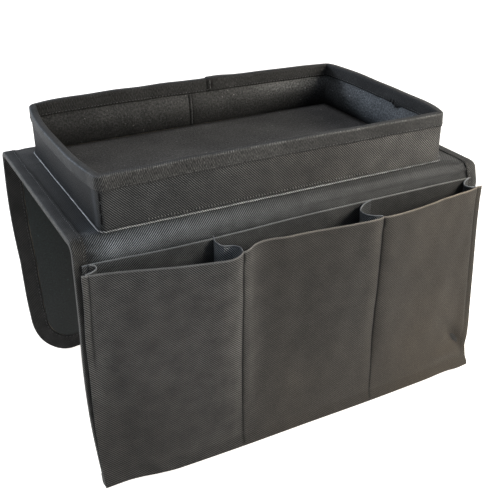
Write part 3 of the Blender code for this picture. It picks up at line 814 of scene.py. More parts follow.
MOUTH_PLACES = (0, 0.03, 0.08, 0.14, 0.20, 0.26, 0.285, 0.31, 0.34, 0.37, 0.40, 0.47, 0.55, 0.65, 0.69,
                0.75, 0.85, 0.95, 1)
MOUTH_DEPTHS = (0.27, 0.22, 0.34, 0.54, 0.75, 0.93, 0.985, 0.95, 0.79, 0.54, 0.49, 0.545, 0.65, 0.775, 0.80,
                0.735, 0.56, 0.42, 0.34)
BACK_PLACES = (0, 0.03, 0.09, 0.175, 0.26, 0.36, 0.46, 0.56, 0.70, 1)
BACK_PROUDS = (0, 0, 0.9, 3.0, 3.4, 2.4, 0.8, 0.1, 0, 0)
SEAMS = (0.014, 0.330, 0.682, 0.986)
POCKET_SEAM = "front_panel", "pocket_front", (0, SEAM_Y, SEAM_Z), (0, SEAM_Y + 0.0022, SEAM_Z + 0.012)
GUSSET_BEND = "front_panel", "pocket_front", (0, -0.1010, -0.020), (0, -0.1070, -0.0208)


def pocket_standoff(along, up):
    """How far the pocket cloth stands off the panel behind it, along the length and up from its seam."""
    depth = POCKET_DEPTH * hermite(along, MOUTH_PLACES, MOUTH_DEPTHS)
    swell = 1 - (1 - np.clip(up, 0, 1)) ** 1.7
    pinch = np.clip(1 - along / 0.08, 0, 1)
    return depth * (swell * (1 - pinch) + np.clip(up, 0, 1) * pinch)


def pocket_height(along, place):
    """The pocket cloth's middle over the drop's outer face, with its sewn creases and slack."""
    up = (SEAM_PLACE - place) / (SEAM_PLACE - MOUTH_PLACE)
    height = SEAM_STANDOFF + pocket_standoff(along, up)
    x = along * PANEL_LENGTH
    open_part = smooth(up * 6)
    crease = sum(depth * np.exp(-np.abs(x - seam * PANEL_LENGTH) / width) for seam, depth, width in zip(
        SEAMS, (0.0014, 0.0024, 0.0020, 0.0012), (0.0011, 0.0030, 0.0032, 0.0012)))
    fade = np.where(along < 0.05, step_down(place, 0.095, 0.03), 1.0)
    slack = (0.0009 * ripple(x, place * 0.35, 31, 0.060) + 0.0003 * ripple(x, place, 32, 0.022)) * open_part
    keep = smooth(np.minimum(along, 1 - along) / 0.05)
    dent = (0.0034 * hump(x, 0.3145, 0.014) * hump(place, 0.147 + 1.0 * (x - 0.3145), 0.009)
            - 0.0022 * hump(x, 0.304, 0.016) * hump(place, 0.164, 0.009))
    fold_line = 0.0016 * hump(x, 0.148, 0.010) * step_down(place, 0.09, 0.08)
    return (height - crease * open_part * fade * smooth(up * 3) + slack * keep
            - dent * step_down(place, 0.17, 0.01) + fold_line)


def pocket_x(along, place):
    """Place along the length, with the free ends of the cloth as they lie."""
    z = place * 1000
    left = hermite(z, (9, 23, 39, 62, 87, 114, 138, 176), (1.6, 1.7, 1.5, 0.7, 0.9, 0.3, 0, 0))
    right = hermite(z, (9, 34, 48, 67, 84, 109, 132, 150, 161, 169, 176),
                    (-2.2, -2.1, -1.8, -1.2, -0.7, -0.5, -0.5, -1.3, -2.7, -2.6, -0.8))
    x = along * PANEL_LENGTH - HALF_LENGTH
    return x + left / 1000 * smooth(1 - along / 0.05) + right / 1000 * smooth(1 - (1 - along) / 0.05)


def mouth_drop(along):
    """How far the mouth's edge lies below the nominal line."""
    return (-0.0016 * hump(along, 0, 0.010) + 0.0006 * np.sin(pi * np.clip(along / 0.33, 0, 1))
            + 0.0005 * np.sin(pi * np.clip((along - 0.33) / 0.352, 0, 1))
            + 0.0005 * np.sin(pi * np.clip((along - 0.682) / 0.31, 0, 1)))


def pocket_tint(along, place):
    """Painted highlight on the mouth's edge, painted light next to two seams and low down to the right,
    painted shade to the left, in the sewn seams and at their tops, and painted shade and light on the dent.
    """
    x = along * PANEL_LENGTH
    # Painted highlight on the mouth's edge.
    edge = 4.4 * smooth(1 - (place - MOUTH_PLACE - mouth_drop(along)) / 0.0010)
    deep = smooth((SEAM_PLACE - place) / 0.004) * (place > MOUTH_PLACE + 0.001)
    sewn = smooth((DROP_LENGTH - 0.0005 - place) / 0.002) * (place > MOUTH_PLACE + 0.001)
    # Painted shade in the sewn seams and along the end seams, and painted light next to the two middle
    # seams.
    groove_shade = sum(hump(x, seam * PANEL_LENGTH, 0.0011) for seam in SEAMS[1:3]) * sewn
    lit = sum(hump(x, seam * PANEL_LENGTH - 0.0050, 0.0034) for seam in SEAMS[1:3]) * deep
    left = hump(x, SEAMS[0] * PANEL_LENGTH, 0.0009) * step_down(place, 0.092, 0.02)
    right = hump(x, SEAMS[3] * PANEL_LENGTH, 0.0009) * deep
    low = step_up(place, 0.07, 0.07)
    # Painted light and shade over the pockets: lighter low down to the right, darker to the left.
    painted_light = 0.40 * step_up(along, 0.56, 0.30) * low - 0.10 * step_down(along, 0.40, 0.35) * low
    painted_light = painted_light - 0.09 * step_down(along, 0.66, 0.2) * (1 - 1.6 * low * hump(along, 0.5, 0.17))
    # Painted shade in the dent and painted light under it.
    dent_shade_and_light = 0.42 * hump(x, 0.3180, 0.014) * hump(place, 0.145 + 1.0 * (x - 0.3145), 0.0085)
    dent_shade_and_light = dent_shade_and_light - 0.16 * hump(x, 0.303, 0.012) * hump(place, 0.156, 0.007)
    # Painted light low down in the middle and to the right.
    low_painted_light = 0.15 * hump(along, 0.52, 0.14) * step_up(place, 0.10, 0.04)
    low_painted_light = low_painted_light + 0.20 * step_up(along, 0.62, 0.25) * step_up(place, 0.115, 0.035)
    # Painted shade at the tops of the two middle seams.
    slit_shade = 0
    for seam, length in ((SEAMS[1], 0.013), (SEAMS[2], 0.020)):
        line = hump(x, seam * PANEL_LENGTH - 0.0008 * np.sin(place * 300), 0.0010)
        slit_shade = slit_shade + line * smooth((MOUTH_PLACE + length - place) / 0.005)
    # Painted shade in the seams and at their tops.
    dark = np.maximum(0.80 * groove_shade, 0.96 * slit_shade * deep)
    return edge + painted_light + low_painted_light - dent_shade_and_light - dark + 0.26 * lit - 0.7 * left - 0.5 * right


def pocket_even(along, place):
    """How much plainer the weave is: clear at the upper left, flattened by rubbing to the right and low
    down.
    """
    low = step_up(place, 0.08, 0.07)
    even = -0.45 + (0.95 - 0.45 * low) * step_up(along, 0.28, 0.14)
    even = even + 0.20 * step_up(along, 0.66, 0.1) + 0.55 * low
    return even + (0.85 - even) * edge_tint(place - mouth_drop(along), MOUTH_PLACE, 1.0, 0.0016)


def pocket_warm(along, place):
    """Cooler at the left, faded to a brownish grey to the right and low down."""
    low = step_up(place, 0.08, 0.07)
    return -0.35 + 0.75 * step_up(along, 0.22, 0.25) + 0.65 * step_up(along, 0.62, 0.2) + 0.25 * low


def edge_tint(place, start, strength=5.6, width=0.0009):
    return strength * smooth(1 - (place - start) / width)


def make_pockets(threads):
    """The pocket cloth, the panel behind it, the hem, the dividers and gussets, and two dark seams."""
    near_ends = [0.005, 0.0105, 0.0175, 0.0215, 0.9785, 0.9825, 0.9895, 0.995]
    near_seams = [0.322, 0.326, 0.328, 0.330, 0.332, 0.334, 0.338, 0.674, 0.678, 0.680, 0.682, 0.684, 0.686,
                  0.690]
    along = np.unique(np.concatenate([np.linspace(0, 1, 131), near_ends, near_seams]))
    v = np.concatenate([(0, 0.003, 0.0065, 0.011, 0.018, 0.028, 0.043), np.linspace(0.06, 0.94, 60),
                        np.linspace(0.94, 1, 12)[1:]])
    down, across = np.meshgrid(v, along)
    foot = DROP_LENGTH + 0.0006
    place = MOUTH_PLACE + mouth_drop(across) + (foot - MOUTH_PLACE - mouth_drop(across)) * down
    height = pocket_height(across, np.minimum(place, SEAM_PLACE))
    half = POCKET_CLOTH / 2 + 0.00025 * smooth((MOUTH_PLACE + 0.010 - place) / 0.002)
    x = pocket_x(across, place)
    s = FRONT_ARC + place
    cloth = grid_sheet("pocket_cloth", front_points(x, s, height + half), front_points(x, s, height - half),
                       across * PANEL_LENGTH, place, TWILL, cap=0.0005, tint=pocket_tint(across, place),
                       even=pocket_even(across, place), warm=pocket_warm(across, place))
    settle(cloth, POCKET_SEAM, "twill_cloth", "pocket_front_cloth")
    # panel behind the mouths
    along_back = np.linspace(0.015, 0.985, 111)
    rows = np.concatenate([(0.0065, 0.0070, 0.0076, 0.0084), np.linspace(0.0100, 0.05, 14),
                           np.linspace(0.055, DROP_LENGTH - WRAP, 24)])
    place, across = np.meshgrid(rows, along_back)
    proud = hermite(across, BACK_PLACES, BACK_PROUDS) / 1000 * step_down(place, 0.055, 0.05)
    slack = 0.00025 * ripple(across * 0.33, place, 41, 0.03) * step_down(place, 0.06, 0.03)
    height = BACK_FACE + proud + np.abs(slack)
    x = across * PANEL_LENGTH - HALF_LENGTH
    s = FRONT_ARC + place
    # Painted light and shade inside the pockets, lighter at the left and darker to the right, and a painted
    # highlight on the panel's top edge.
    inside_light_and_shade = 0.34 - 0.40 * step_up(across, 0.30, 0.2) - 0.40 * step_up(across, 0.62, 0.1)
    tint = edge_tint(place, rows[0]) + inside_light_and_shade
    back = grid_sheet("pocket_back_cloth", front_points(x, s, height),
                      front_points(x, s, height - POCKET_CLOTH), x, s, TWILL, cap=0.0004, flip=True,
                      tint=tint, even=edge_tint(place, rows[0], 0.85, 0.0016), warm=-0.8 + 0.6 * across)
    settle(back, "front_panel", "twill_cloth", "pocket_back_panel")
    # hem: the turned foot, in front of, under and behind the layers
    across = np.linspace(0, 1, 111)
    x = pocket_x(across, np.full(111, SEAM_PLACE + 0.003))
    front_line = np.linspace(DROP_LENGTH - HEM_HEIGHT, DROP_LENGTH - 0.0012, 5)
    path = [(p, BACK_FACE + 0.0003) for p in front_line]
    path += [(DROP_LENGTH - 0.0001, 0.0012), (DROP_LENGTH, -0.001), (DROP_LENGTH - 0.0002, -0.0036)]
    path += [(p, -STACK - WRAP) for p in front_line[::-1]]
    path = np.array(path)
    tangent = unit(np.gradient(path, axis=0))
    inside = path + np.stack([-tangent[:, 1], tangent[:, 0]], -1) * -TAPE
    rings = [front_points(x, FRONT_ARC + p + 0 * x, h) for p, h in (*path, *inside[::-1])]
    run = lengths(path)
    both = np.concatenate([run, run[::-1]])
    places = np.stack(np.meshgrid(x, both, indexing="ij"), -1)
    hem = loft("front_hem_cloth", np.stack(rings, 1), places, TWILL)
    settle(hem, "front_panel", "twill_cloth", "front_hem")
    # gussets and dividers, by places along the length and standoffs in mm at the mouth
    paths = {
        "pocket_gusset_left": ((9.5, 2.2), (14.0, 2.9), (12.0, 5.2), (8.6, 7.4), (5.0, 8.8)),
        "pocket_divider_left": ((98.0, 5.0), (96.6, 9.5), (99.8, 14.0), (107.0, 16.8), (109.8, 21.5),
                                (108.6, 26.0)),
        "pocket_divider_right": ((229.0, 2.6), (221.0, 3.8), (216.0, 8.0), (215.0, 14.0), (218.8, 21.0),
                                 (225.0, 24.8)),
        "pocket_gusset_right": ((322.5, 2.3), (317.6, 3.6), (316.0, 7.4), (317.4, 10.6), (321.5, 12.9)),
    }
    for name, path in paths.items():
        path = np.array(path)
        run = lengths(path)
        t = np.linspace(0, run[-1], 25)
        line = np.stack([hermite(t, run, path[:, 0]), hermite(t, run, path[:, 1])], -1) / 1000
        rows = np.concatenate([(0, 0.003, 0.0065, 0.011, 0.018, 0.030, 0.050), np.linspace(0.08, 0.9, 26)])
        v, i = np.meshgrid(rows, np.arange(25))
        top = MOUTH_PLACE - 0.0006 - 0.0036 * (1 - smooth(i / 24 / 0.45))
        place = top + (SEAM_PLACE - MOUTH_PLACE) * v
        end_along = line[-1, 0] / PANEL_LENGTH
        reach = pocket_height(np.full(v.shape, end_along), np.maximum(place, MOUTH_PLACE))
        room = reach - BACK_FACE - 0.0011
        share = room / room[0, 0]
        out = (line[i, 1] - line[0, 1]) / (line[-1, 1] - line[0, 1])
        height = BACK_FACE + 0.0005 + out * room
        straight = line[0, 0] + (line[-1, 0] - line[0, 0]) * i / 24
        x = straight + (line[i, 0] - straight) * share - HALF_LENGTH
        middle = front_points(x, FRONT_ARC + place, height)
        side = unit(np.cross(np.gradient(middle, axis=0), np.gradient(middle, axis=1)))
        arc = lengths(line)
        thick = (0.0003 + 0.0002 * smooth(1 - (place - top) / 0.0014))[..., None]
        # Painted highlight on the top edges, and painted light on the lit face of both dividers.
        edge_highlight = edge_tint(place - top, 0.0, 7.0, 0.0009)
        lit = {"pocket_divider_left": 6.0, "pocket_divider_right": 3.4}.get(name, 0.0)
        painted_light = lit * smooth(1 - (place - top) / 0.028)
        gusset = grid_sheet(name + "_cloth", middle + side * thick, middle - side * thick, arc[i], place,
                            TWILL, cap=0.0005, tint=(edge_highlight, np.maximum(edge_highlight, painted_light)),
                            even=edge_tint(place - top, 0.0, 0.85, 0.0014), warm=-0.7 + 0 * place)
        settle(gusset, GUSSET_BEND, "lining_cloth", name)
    # seams down the pocket cloth
    for seam in SEAMS[1:3]:
        place = np.linspace(MOUTH_PLACE + 0.002, SEAM_PLACE - 0.002, 120)
        across = np.full(120, seam)
        points = front_points(pocket_x(across, place), FRONT_ARC + place,
                              pocket_height(across, place) + POCKET_CLOTH / 2)
        _, _, ny, nz = front_profile(FRONT_ARC + place)
        threads["pocket_dark"] += stitch_row(points, np.stack([0 * ny, ny, nz], -1), pitch=0.0032,
                                             rise=0.00018)


# Tray

def tray_ring(outwards, radius):
    """The tray's outline in plan, outwards from the walls' outer face, from the middle of the rear wall."""
    x, y = TRAY_HALF_LENGTH + outwards, TRAY_HALF_WIDTH + outwards
    points, normals = [], []
    start = (0.0, y)
    sides = ((1, 1, pi / 2, 92), (1, -1, 0, 80), (-1, -1, -pi / 2, 184), (-1, 1, -pi, 80))
    for side_x, side_y, angle, steps in sides:
        centre = (side_x * (x - radius), side_y * (y - radius))
        entry = (centre[0] + radius * cos(angle), centre[1] + radius * sin(angle))
        for t in np.linspace(0, 1, steps, endpoint=False):
            points.append((start[0] + (entry[0] - start[0]) * t, start[1] + (entry[1] - start[1]) * t))
            normals.append((cos(angle), sin(angle)))
        for t in np.linspace(0, pi / 2, 7, endpoint=False):
            points.append((centre[0] + radius * cos(angle - t), centre[1] + radius * sin(angle - t)))
            normals.append((cos(angle - t), sin(angle - t)))
        start = (centre[0] + radius * cos(angle - pi / 2), centre[1] + radius * sin(angle - pi / 2))
    for t in np.linspace(0, 1, 92, endpoint=False):
        points.append((start[0] * (1 - t), start[1]))
        normals.append((0.0, 1.0))
    return np.array(points) + (TRAY_X, TRAY_Y), np.array(normals)


def close_ring(points):
    """The points with the first one again at the end."""
    return np.concatenate([points, points[:1]])


def raised(plan, height):
    """Points of a plan at one height."""
    return np.concatenate([plan, np.full((len(plan), 1), height)], axis=1)


def tray_bend(points):
    """The walls bow outwards and their rim waves, more towards the top."""
    x, y, z = points[..., 0], points[..., 1], points[..., 2]
    u, v = (x - TRAY_X) / TRAY_HALF_LENGTH, (y - TRAY_Y) / TRAY_HALF_WIDTH
    high = np.clip((z - TRAY_FOOT) / (RIM_TOP - TRAY_FOOT), 0, 1.05)
    near = [step_up(side, 0.72, 0.2) * high for side in (u, -u, v, -v)]
    to_front, to_right = np.clip((1 - v) / 2, 0, 1), np.clip((u + 1) / 2, 0, 1)
    left = hermite(to_front, (0, 0.07, 0.2, 0.37, 0.7, 0.87, 1), (0, 0.35, 0.75, 1, 0.95, 0.6, 0))
    right = hermite(to_front, (0, 0.05, 0.15, 0.3, 0.8, 0.92, 1), (0, 0.35, 0.75, 1, 1, 0.7, 0))
    rear = np.sin(pi * to_right)
    rear_lift = hermite(to_right, (0, 0.05, 0.1, 0.2, 0.35, 0.5, 0.7, 0.9, 1),
                        (1.7, 2.8, 3.0, 3.3, 2.9, 2.2, 1.7, 1.0, 0.2))
    x = x + 0.0044 * right * near[0] - 0.0060 * left * near[1]
    y = y + 0.0030 * rear * near[2] + 0.0006 * np.sin(2 * pi * to_right) * near[3]
    z = z + 0.0012 * right * near[0] + rear_lift / 1000 * near[2] + 0.0012 * rear * near[3]
    z = z + 0.0015 * hump(to_front, 0, 0.12) * near[1] * (1 - near[2] / np.maximum(high, 1e-6))
    return np.stack([x, y, z], -1)


def ring_loft(name, section, material, corner, relief=None, flip=False, shift=None):
    """A section of (outwards, height) points carried round the tray; corner is the outer face's radius."""
    run = lengths(close_ring(tray_ring(0, corner)[0]))
    rings, tints, warms = [], [], []
    for k, (outwards, height) in enumerate(section):
        plan, normals = tray_ring(outwards, max(corner + outwards, SMALLEST_CORNER))
        points = raised(plan, height)
        tint, warm = 0.0, 0.0
        if relief is not None:
            push, lift, tint, warm = relief(run[:-1], run[-1], k, outwards, height)
            points[:, :2] += normals * np.asarray(push)[:, None]
            points[:, 2] += lift
        rings.append(tray_bend(points))
        tints.append(np.zeros(len(plan)) + tint)
        warms.append(np.zeros(len(plan)) + warm)
    rings = np.stack(rings, 1)
    step = lengths(section)
    u, v = np.meshgrid(run, step if shift is None else shift, indexing="ij")
    places = np.stack([-u if flip else u, v], -1)
    return loft(name, rings, places, material, closed=True, tint=np.stack(tints, 1),
                warm=np.stack(warms, 1))


def walls(kind):
    return [f"tray_{side}_wall_{kind}" for side in ("front", "rear", "left", "right")]


def banded(outer, inner):
    return np.concatenate([np.array(outer), np.array(inner)[::-1]])


def wall_relief(run, height):
    """Slight unevenness of the boarded walls."""
    return 0.00035 * ripple(run, height, 51, 0.07) + 0.00012 * ripple(run, 3 * height, 52, 0.02)


def make_tray(threads):
    """The walls' cover, board and lining, the floor's lining, the rim tape, the welt and their stitches."""
    rear_seam, rim_lap = -0.0018, 0.0222

    def from_middle(run, span, at):
        """Distance along the ring from a place on the rear wall, counted from its middle."""
        return (run - at + span / 2) % span - span / 2

    # cloth over the walls' outer faces
    heights = np.linspace(TRAY_FOOT, RIM_TOP - WRAP, 12)
    section = banded([(0, z) for z in heights], [(-COVER, z) for z in heights])

    def outer_relief(run, span, k, outwards, height):
        outer = 1.0 if k < len(heights) else 0.3
        foot = step_down(height, 0.012, 0.008)
        # Painted shade on the left wall, painted light at the right end of the front wall and painted shade
        # along the rest of it, a painted highlight at the front-left corner, and painted cool light over
        # the left part of the ring.
        shaded_left_wall = hump(run, span / 2 + TRAY_QUARTER, TRAY_HALF_WIDTH * 0.98) > 0.37
        front = step_up(run, FRONT_RIGHT_RUN, 0.001) * step_down(run, FRONT_LEFT_RUN, 0.001)
        tint = -0.86 * shaded_left_wall + front * (0.32 - 0.48 * step_up(run, 0.335, 0.08))
        tint = tint + 0.95 * hump(run, FRONT_LEFT_RUN, 0.0035)
        warm = -0.6 * step_up(run, 0.40, 0.15) - 0.6 * shaded_left_wall
        return outer * (0.0002 + wall_relief(run, height)) + 0.0006 * foot * outer, 0.0, tint, warm

    cover = ring_loft("tray_wall_cloth", section, TWILL, WALL_CORNER, outer_relief, flip=True,
                      shift=np.concatenate([-heights, -heights[::-1]]))
    board_heights = np.linspace(TRAY_FOOT, RIM_TOP - WRAP - GAP, 8)
    section = banded(*[[(-COVER - GAP - inset, z) for z in board_heights] for inset in (0, BOARD)])
    board = ring_loft("tray_wall_stiffener", section, BOARD_FACE, WALL_CORNER)
    settle(board, "top", "stiffener_board", *walls("board"))
    settle(cover, "top", "twill_cloth", *walls("cover"))
    # lining of the walls, down to the floor
    heights = np.linspace(RIM_TOP - WRAP, FLOOR_TOP - 0.0004, 16)
    face, back = [(-STACK, z) for z in heights], [(-LINING_TOP, z) for z in heights]
    section = banded(face, back)

    def lining_relief(run, span, k, outwards, height):
        inner = 1.0 if k < len(face) else 0.0
        away = from_middle(run, span, rear_seam)
        seam = hump(away, 0.0004, 0.0007)
        shade_beside = hump(away, -0.0011, 0.0007) + hump(away, 0.0020, 0.0007)
        slack = 0.00045 * ripple(run, 0.6 * height, 61, 0.05) + 0.00012 * ripple(run, height, 62, 0.012)
        share = np.clip((height - FLOOR_TOP) / (RIM_TOP - FLOOR_TOP), 0, 1)
        below = np.clip(share / 0.74, 0, 1)
        belly = 0.0023 * np.sin(pi * below ** 0.85) ** 1.2 * (1 - 0.5 * hump(away, 0, 0.006))
        low = smooth((FLOOR_TOP + 0.004 - height) / 0.005)
        slack = slack * step_down(share, 0.74, 0.2)
        right_wall = hump(run, TRAY_QUARTER, 0.075)
        # Painted highlight on the rear seam and painted shade next to it, painted shade at the foot of the
        # walls and painted light higher up, a painted sheen on the right part of the rear wall, and painted
        # light on the left and right walls, bluish on the right wall.
        tint = 0.3 * seam - 0.7 * shade_beside - 0.40 * low + 0.42 * step_up(share, 0.25, 0.35) - 0.20
        tint = tint + 2.00 * hump(run, 0.102, 0.045) * hump(share, 0.66, 0.17)
        tint = tint + 0.26 * hump(run, span - TRAY_QUARTER, 0.080)
        tint = tint + right_wall * (2.15 + 0.40 * ripple(run, height, 63, 0.014)) * smooth(share / 0.3)
        push = inner * (-belly - np.abs(slack) * (1 - low) - 0.0004 * seam)
        return push, 0.0, tint, -0.2 - 0.7 * right_wall

    lining = ring_loft("tray_wall_lining_cloth", section, LINING_CLOTH, LINING_CORNER, lining_relief)
    span = lengths(close_ring(tray_ring(0, LINING_CORNER)[0]))[-1]
    for at, kind, width in ((-0.0031, "tray_dark", 0.00042), (-0.0016, "rim", 0.00030),
                            (-0.0002, "tray_dark", 0.00036)):
        line = []
        for z in np.linspace(FLOOR_TOP + 0.001, RIM_TOP - RIM_HEIGHT + 0.0005, 30):
            push = lining_relief(np.array([at % span]), span, 0, -STACK, z)[0][0]
            line.append((TRAY_X + at, TRAY_Y + TRAY_HALF_WIDTH - STACK + push, z))
        threads[kind] += stitch_row(tray_bend(np.array(line)), np.tile((0.0, -1.0, 0.0), (30, 1)),
                                    pitch=0.0042, length=0.0042, radius=width, rise=0.00004)
    settle(lining, "top", "lining_cloth", *walls("lining"))
    # lining of the floor
    reach_x, reach_y = TRAY_HALF_LENGTH - STACK - GAP, TRAY_HALF_WIDTH - STACK - GAP
    gx, gy = np.meshgrid(np.linspace(-reach_x, reach_x, 91), np.linspace(reach_y, -reach_y, 57),
                         indexing="ij")
    edge = np.minimum(reach_x - np.abs(gx), reach_y - np.abs(gy))
    rise = 0.00030 * ripple(gx, gy, 71, 0.06) * smooth(edge / 0.02)
    rise = rise - 0.0003 * smooth(1 - edge / 0.004) + 0.0001
    top = np.stack([gx + TRAY_X, gy + TRAY_Y, FLOOR_TOP + rise], -1)
    low = np.stack([gx + TRAY_X, gy + TRAY_Y, np.full(gx.shape, FLOOR_TOP - LINING - 0.0002)], -1)
    # Painted shade on the floor lining near the walls.
    floor = grid_sheet("tray_floor_cloth", top, low, gx, gy, LINING_CLOTH,
                       tint=1.45 - 2.00 * smooth(1 - edge / 0.007))
    settle(floor, "top", "lining_cloth", "tray_floor_lining")
    # tape over the rim
    out, back, r = WRAP, -STACK - WRAP, 0.0013
    low, high = RIM_TOP - RIM_HEIGHT, RIM_TOP
    turns = np.linspace(0, pi / 2, 4)

    def rim_face(reach):
        inside = r - reach
        points = [(out - inside, z) for z in np.linspace(low, high - r, 8)]
        points += [(out - r + reach * cos(t), high - r + reach * sin(t)) for t in turns[1:]]
        points += [(w, high - inside) for w in np.linspace(out - r, back + r, 5)[1:-1]]
        points += [(back + r - reach * sin(t), high - r + reach * cos(t)) for t in turns]
        return points + [(back + inside, z) for z in np.linspace(high - r, low, 8)[1:]]

    section = banded(rim_face(r), rim_face(r - TAPE))
    middle = (out + back) / 2
    right_wall = TRAY_QUARTER + 0.018

    def rim_relief(run, span, k, outwards, height):
        side = 1.0 if outwards > middle else -1.0
        low_part = smooth((RIM_TOP - 0.002 - height) / 0.006)
        push = side * (0.00016 * ripple(run, height, 81, 0.016) * low_part + 0.00008)
        flare = side * 0.00025 * low_part
        away = from_middle(run, span, rim_lap)
        lap = step_up(away, -0.0075, 0.0012) * step_down(away, 0.022, 0.020)
        push = push + flare + side * 0.0007 * lap
        inner_side = 1.0 if side < 0 else 0.0
        wrinkle = hump(run, right_wall, 0.016) * np.sin(2 * pi * (run - right_wall) / 0.0075) * low_part
        push = push - inner_side * 0.0010 * np.abs(wrinkle)
        lift = 0.00022 * ripple(run, 0, 83, 0.030)
        lift = lift + 0.0007 * lap * smooth((height - RIM_TOP + 0.004) / 0.003)
        edge = smooth((low + 0.0008 - height) / 0.0008)
        notch = hump(run, right_wall + 0.006, 0.0026)
        lift = lift + edge * (0.0003 * ripple(run, side, 84, 0.02) - 0.0024 * inner_side * notch)
        # Painted highlight along the rim's top outer edge; painted shade at the tape's lower edge, on its
        # inner side, at the edge of the lap, in the dent and on its outer side at the right and at the
        # left; painted cool light on the left wall.
        crest_highlight = hump(outwards, out - 0.0006, 0.0007) * hump(height, RIM_TOP - 0.0003, 0.0007)
        tint = 1.6 * crest_highlight * (0.8 + 0.4 * ripple(run, 0, 85, 0.006)) - 0.5 * edge
        tint = tint - 0.42 * inner_side * (1 - crest_highlight) - 0.6 * hump(away, -0.0076, 0.0006)
        tint = tint - 0.24 * inner_side * hump(run, TRAY_QUARTER, 0.075)
        tint = tint - 0.44 * (1 - inner_side) * (1 - step_up(run, 0.38, 0.10)) * (1 - crest_highlight)
        left_run = step_up(run, FRONT_LEFT_RUN + 0.003, 0.003)
        tint = tint - 0.66 * (1 - inner_side) * left_run * (1 - 0.8 * crest_highlight)
        dent = hump(away, -0.0036, 0.0012) * hump(height, RIM_TOP - 0.0045, 0.0030)
        tint = tint - 0.8 * inner_side * dent
        left_wall = (1 - inner_side) * left_run * step_down(run, 0.74, 0.01)
        return push, lift, tint, -0.2 - 0.8 * left_wall

    rim = ring_loft("tray_rim_tape", section, TAPE_CLOTH, RIM_CORNER, rim_relief)
    settle(rim, "top", "binding_tape", "tray_rim_binding")
    # welt at the foot of the walls
    turns = np.linspace(-pi / 2, pi / 2, 7)
    half, centre = 0.00066, TRAY_FOOT + 0.00068
    outer = [(0.0004, TRAY_FOOT)] + [(0.0016 + half * cos(t), centre + half * sin(t)) for t in turns]
    inner = [(0.0003, TRAY_FOOT + 0.0002)] + [(0.0006, centre + half * 0.6 * sin(t)) for t in turns]
    section = banded(outer, inner)

    def welt_relief(run, span, k, outwards, height):
        light = 4.6 - 2.8 * step_down(run, 0.42, 0.10) + 0.9 * ripple(run, 0, 93, 0.010)
        light = light + 6.0 * step_up(run, 0.58, 0.01) * step_down(run, 0.755, 0.02)
        tint = light if outwards > 0.0016 else 0.0
        return 0.00015 * ripple(run, 0, 91, 0.015), 0.00012 * ripple(run, 0, 92, 0.02), tint, -0.3

    welt = ring_loft("tray_welt", section, EDGING_CLOTH, 0.0030, welt_relief)
    settle(welt, "top", "binding_tape", "tray_base_welt")
    # stitches: rim outside and inside, overcast above the welt, and the corner seam
    for outwards, side in ((WRAP + 0.0003, 1), (-STACK - WRAP - 0.0003, -1)):
        plan, normals = tray_ring(outwards, max(RIM_CORNER + outwards, SMALLEST_CORNER))
        points = raised(plan, low + 0.0013)
        threads["rim"] += stitch_row(close_ring(tray_bend(points)), close_ring(raised(normals, 0.0) * side),
                                     pitch=0.0027, length=0.0017, radius=0.00022)
    plan, normals = tray_ring(0.0009, 0.0040)
    run = lengths(close_ring(plan))

    def at_run(place, values):
        return np.array([np.interp(place, run, column) for column in close_ring(values).T])

    at = np.arange(0, run[-1], 0.0023)
    for place in at[(at < 0.304) | ((at > 0.372) & (at < 0.548)) | (at > 0.760)]:
        foot, head = (at_run(place + ahead, plan) for ahead in (0, 0.0006))
        up = at_run(place, normals)
        up = np.append(up / np.linalg.norm(up), 0.0)
        foot, head = np.append(foot, TRAY_FOOT + 0.0026), np.append(head, TRAY_FOOT + 0.0039)
        line = foot + (head - foot) * np.array((0, 0.2, 0.5, 0.8, 1))[:, None]
        line = line + up * (np.array((0.0003, 0.0003, 0.0002, 0.0, -0.0004)))[:, None]
        threads["tray"].append((line, np.tile(up, (5, 1)), 0.00028))
    line = tray_bend(np.array([(TRAY_X + 0.0168, TRAY_Y + TRAY_HALF_WIDTH - STACK - WRAP - 0.0007, z)
                               for z in np.linspace(RIM_TOP - 0.0012, RIM_TOP - 0.0090, 8)]))
    threads["tray"] += stitch_row(line, np.tile((0.0, -1.0, 0.0), (8, 1)), pitch=0.0042, length=0.0034)
    corner = np.array((TRAY_X - TRAY_HALF_LENGTH + 0.0009, TRAY_Y - TRAY_HALF_WIDTH + 0.0009, 0))
    outward = np.array((-1, -1, 0)) / 2 ** 0.5
    zs = np.linspace(RIM_TOP - RIM_HEIGHT - 0.001, TRAY_FOOT + 0.002, 30)
    line = tray_bend(np.array([corner + (0, 0, z) + outward * 0.0002 for z in zs]))
    threads["tray_dark"] += stitch_row(line, np.tile(outward, (30, 1)), pitch=0.0080, length=0.0066,
                                       radius=0.00070)


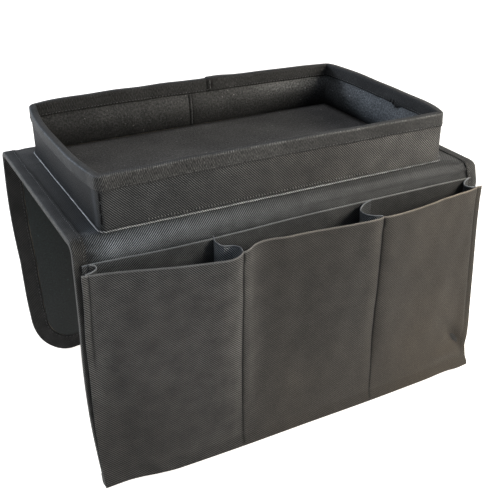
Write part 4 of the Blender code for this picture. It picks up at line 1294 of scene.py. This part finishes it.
def make_stage():
    """Pale floor, soft studio light and the photograph's camera."""
    scene = bpy.context.scene
    scene.view_settings.view_transform = "Standard"
    world = bpy.data.worlds.new("studio")
    scene.world = world
    world.use_nodes = True
    tree = world.node_tree
    up = node(tree, "SeparateXYZ")
    tree.links.new(node(tree, "TexCoord").outputs["Generated"], up.inputs[0])
    sky = Term(tree, up.outputs["Z"]).ramp(
        (0.0, (1.0, 1.0, 0.992)), (0.08, (0.30, 0.31, 0.32)), (1.0, (0.20, 0.21, 0.23)))
    tree.links.new(sky, tree.nodes["Background"].inputs["Color"])
    mesh = bpy.data.meshes.new("studio_floor")
    mesh.from_pydata([(-6, -6, 0), (6, -6, 0), (6, 6, 0), (-6, 6, 0)], [], [(0, 1, 2, 3)])
    floor = add_object("studio_floor", mesh)
    floor.location = (0, 0, STAGE_Z)
    pale = Cloth("pale_floor", 0.9, 0.0, 0.0)
    tone = pale.noise(3.0, place=node(pale.tree, "TexCoord").outputs["Object"])
    grey = tone.ramp((0.3, (0.49, 0.49, 0.487)), (0.7, (0.51, 0.51, 0.507)))
    feed(pale.tree, pale.inputs["Base Color"], grey)
    pale.inputs["Emission Color"].default_value = (1.0, 0.965, 0.925, 1)
    pale.inputs["Emission Strength"].default_value = 1.05
    mesh.materials.append(pale.material)
    for name, place, aim, size, power, colour in (
            ("key_right", (0.42, -0.38, 0.21), (0.10, -0.06, 0.0), 0.30, 5.3, (1.0, 0.94, 0.84)),
            ("back_left", (-0.75, 0.95, 0.50), (0.10, 0.0, 0.02), 0.40, 12.5, (0.80, 0.88, 1.0)),
            ("top_soft", (0.0, 0.05, 1.10), (0.0, 0.0, 0.0), 0.70, 4.0, (0.94, 0.94, 1.0)),
            ("fill_left", (-0.75, -0.65, 0.75), (-0.1, -0.08, 0.0), 0.70, 1.0, (0.70, 0.85, 1.0))):
        light = bpy.data.lights.new(name, "AREA")
        light.shape = "DISK"
        light.size = size
        light.energy = power
        light.color = colour
        lamp = add_object(name, light)
        lamp.location = place
        lamp.rotation_euler = (Vector(aim) - Vector(place)).to_track_quat("-Z", "Y").to_euler()
    data = bpy.data.cameras.new("camera")
    data.sensor_width = SENSOR
    data.lens = FOCAL_PIXELS * SENSOR / PHOTO_PIXELS
    data.clip_start = 0.01
    camera = add_object("camera", data)
    scene.camera = camera
    yaw, pitch, roll = radians(27.48), radians(27.35), radians(-0.18)
    forward = Vector((sin(yaw) * cos(pitch), cos(yaw) * cos(pitch), -sin(pitch)))
    turn = forward.to_track_quat("-Z", "Y").to_matrix() @ Matrix.Rotation(roll, 3, "Z")
    camera.location = (-0.2800, -0.5640, 0.2414)
    camera.rotation_euler = turn.to_euler()


def dress_floor_board():
    """The tray's floor board keeps its CAD shape and gets the board's material."""
    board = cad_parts["tray_floor_board"]
    board.data.materials.clear()
    board.data.materials.append(BOARD_FACE)


threads = {"front": [], "rear": [], "pocket_dark": [], "rim": [], "tray": [], "tray_dark": []}
make_saddle()
make_end_tapes(threads)
make_pockets(threads)
make_tray(threads)
dress_floor_board()

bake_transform(stitches("front_edging_stitches", threads["front"], DULL_THREAD))
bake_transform(stitches("rear_edging_stitches", threads["rear"], DULL_THREAD))
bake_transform(stitches("pocket_seam_stitches", threads["pocket_dark"], DARK_THREAD))
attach(stitches("tray_rim_stitches", threads["rim"], DULL_THREAD), "top")
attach(stitches("tray_stitches", threads["tray"], THREAD), "top")
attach(stitches("tray_corner_stitches", threads["tray_dark"], DARK_THREAD), "top")

make_stage()
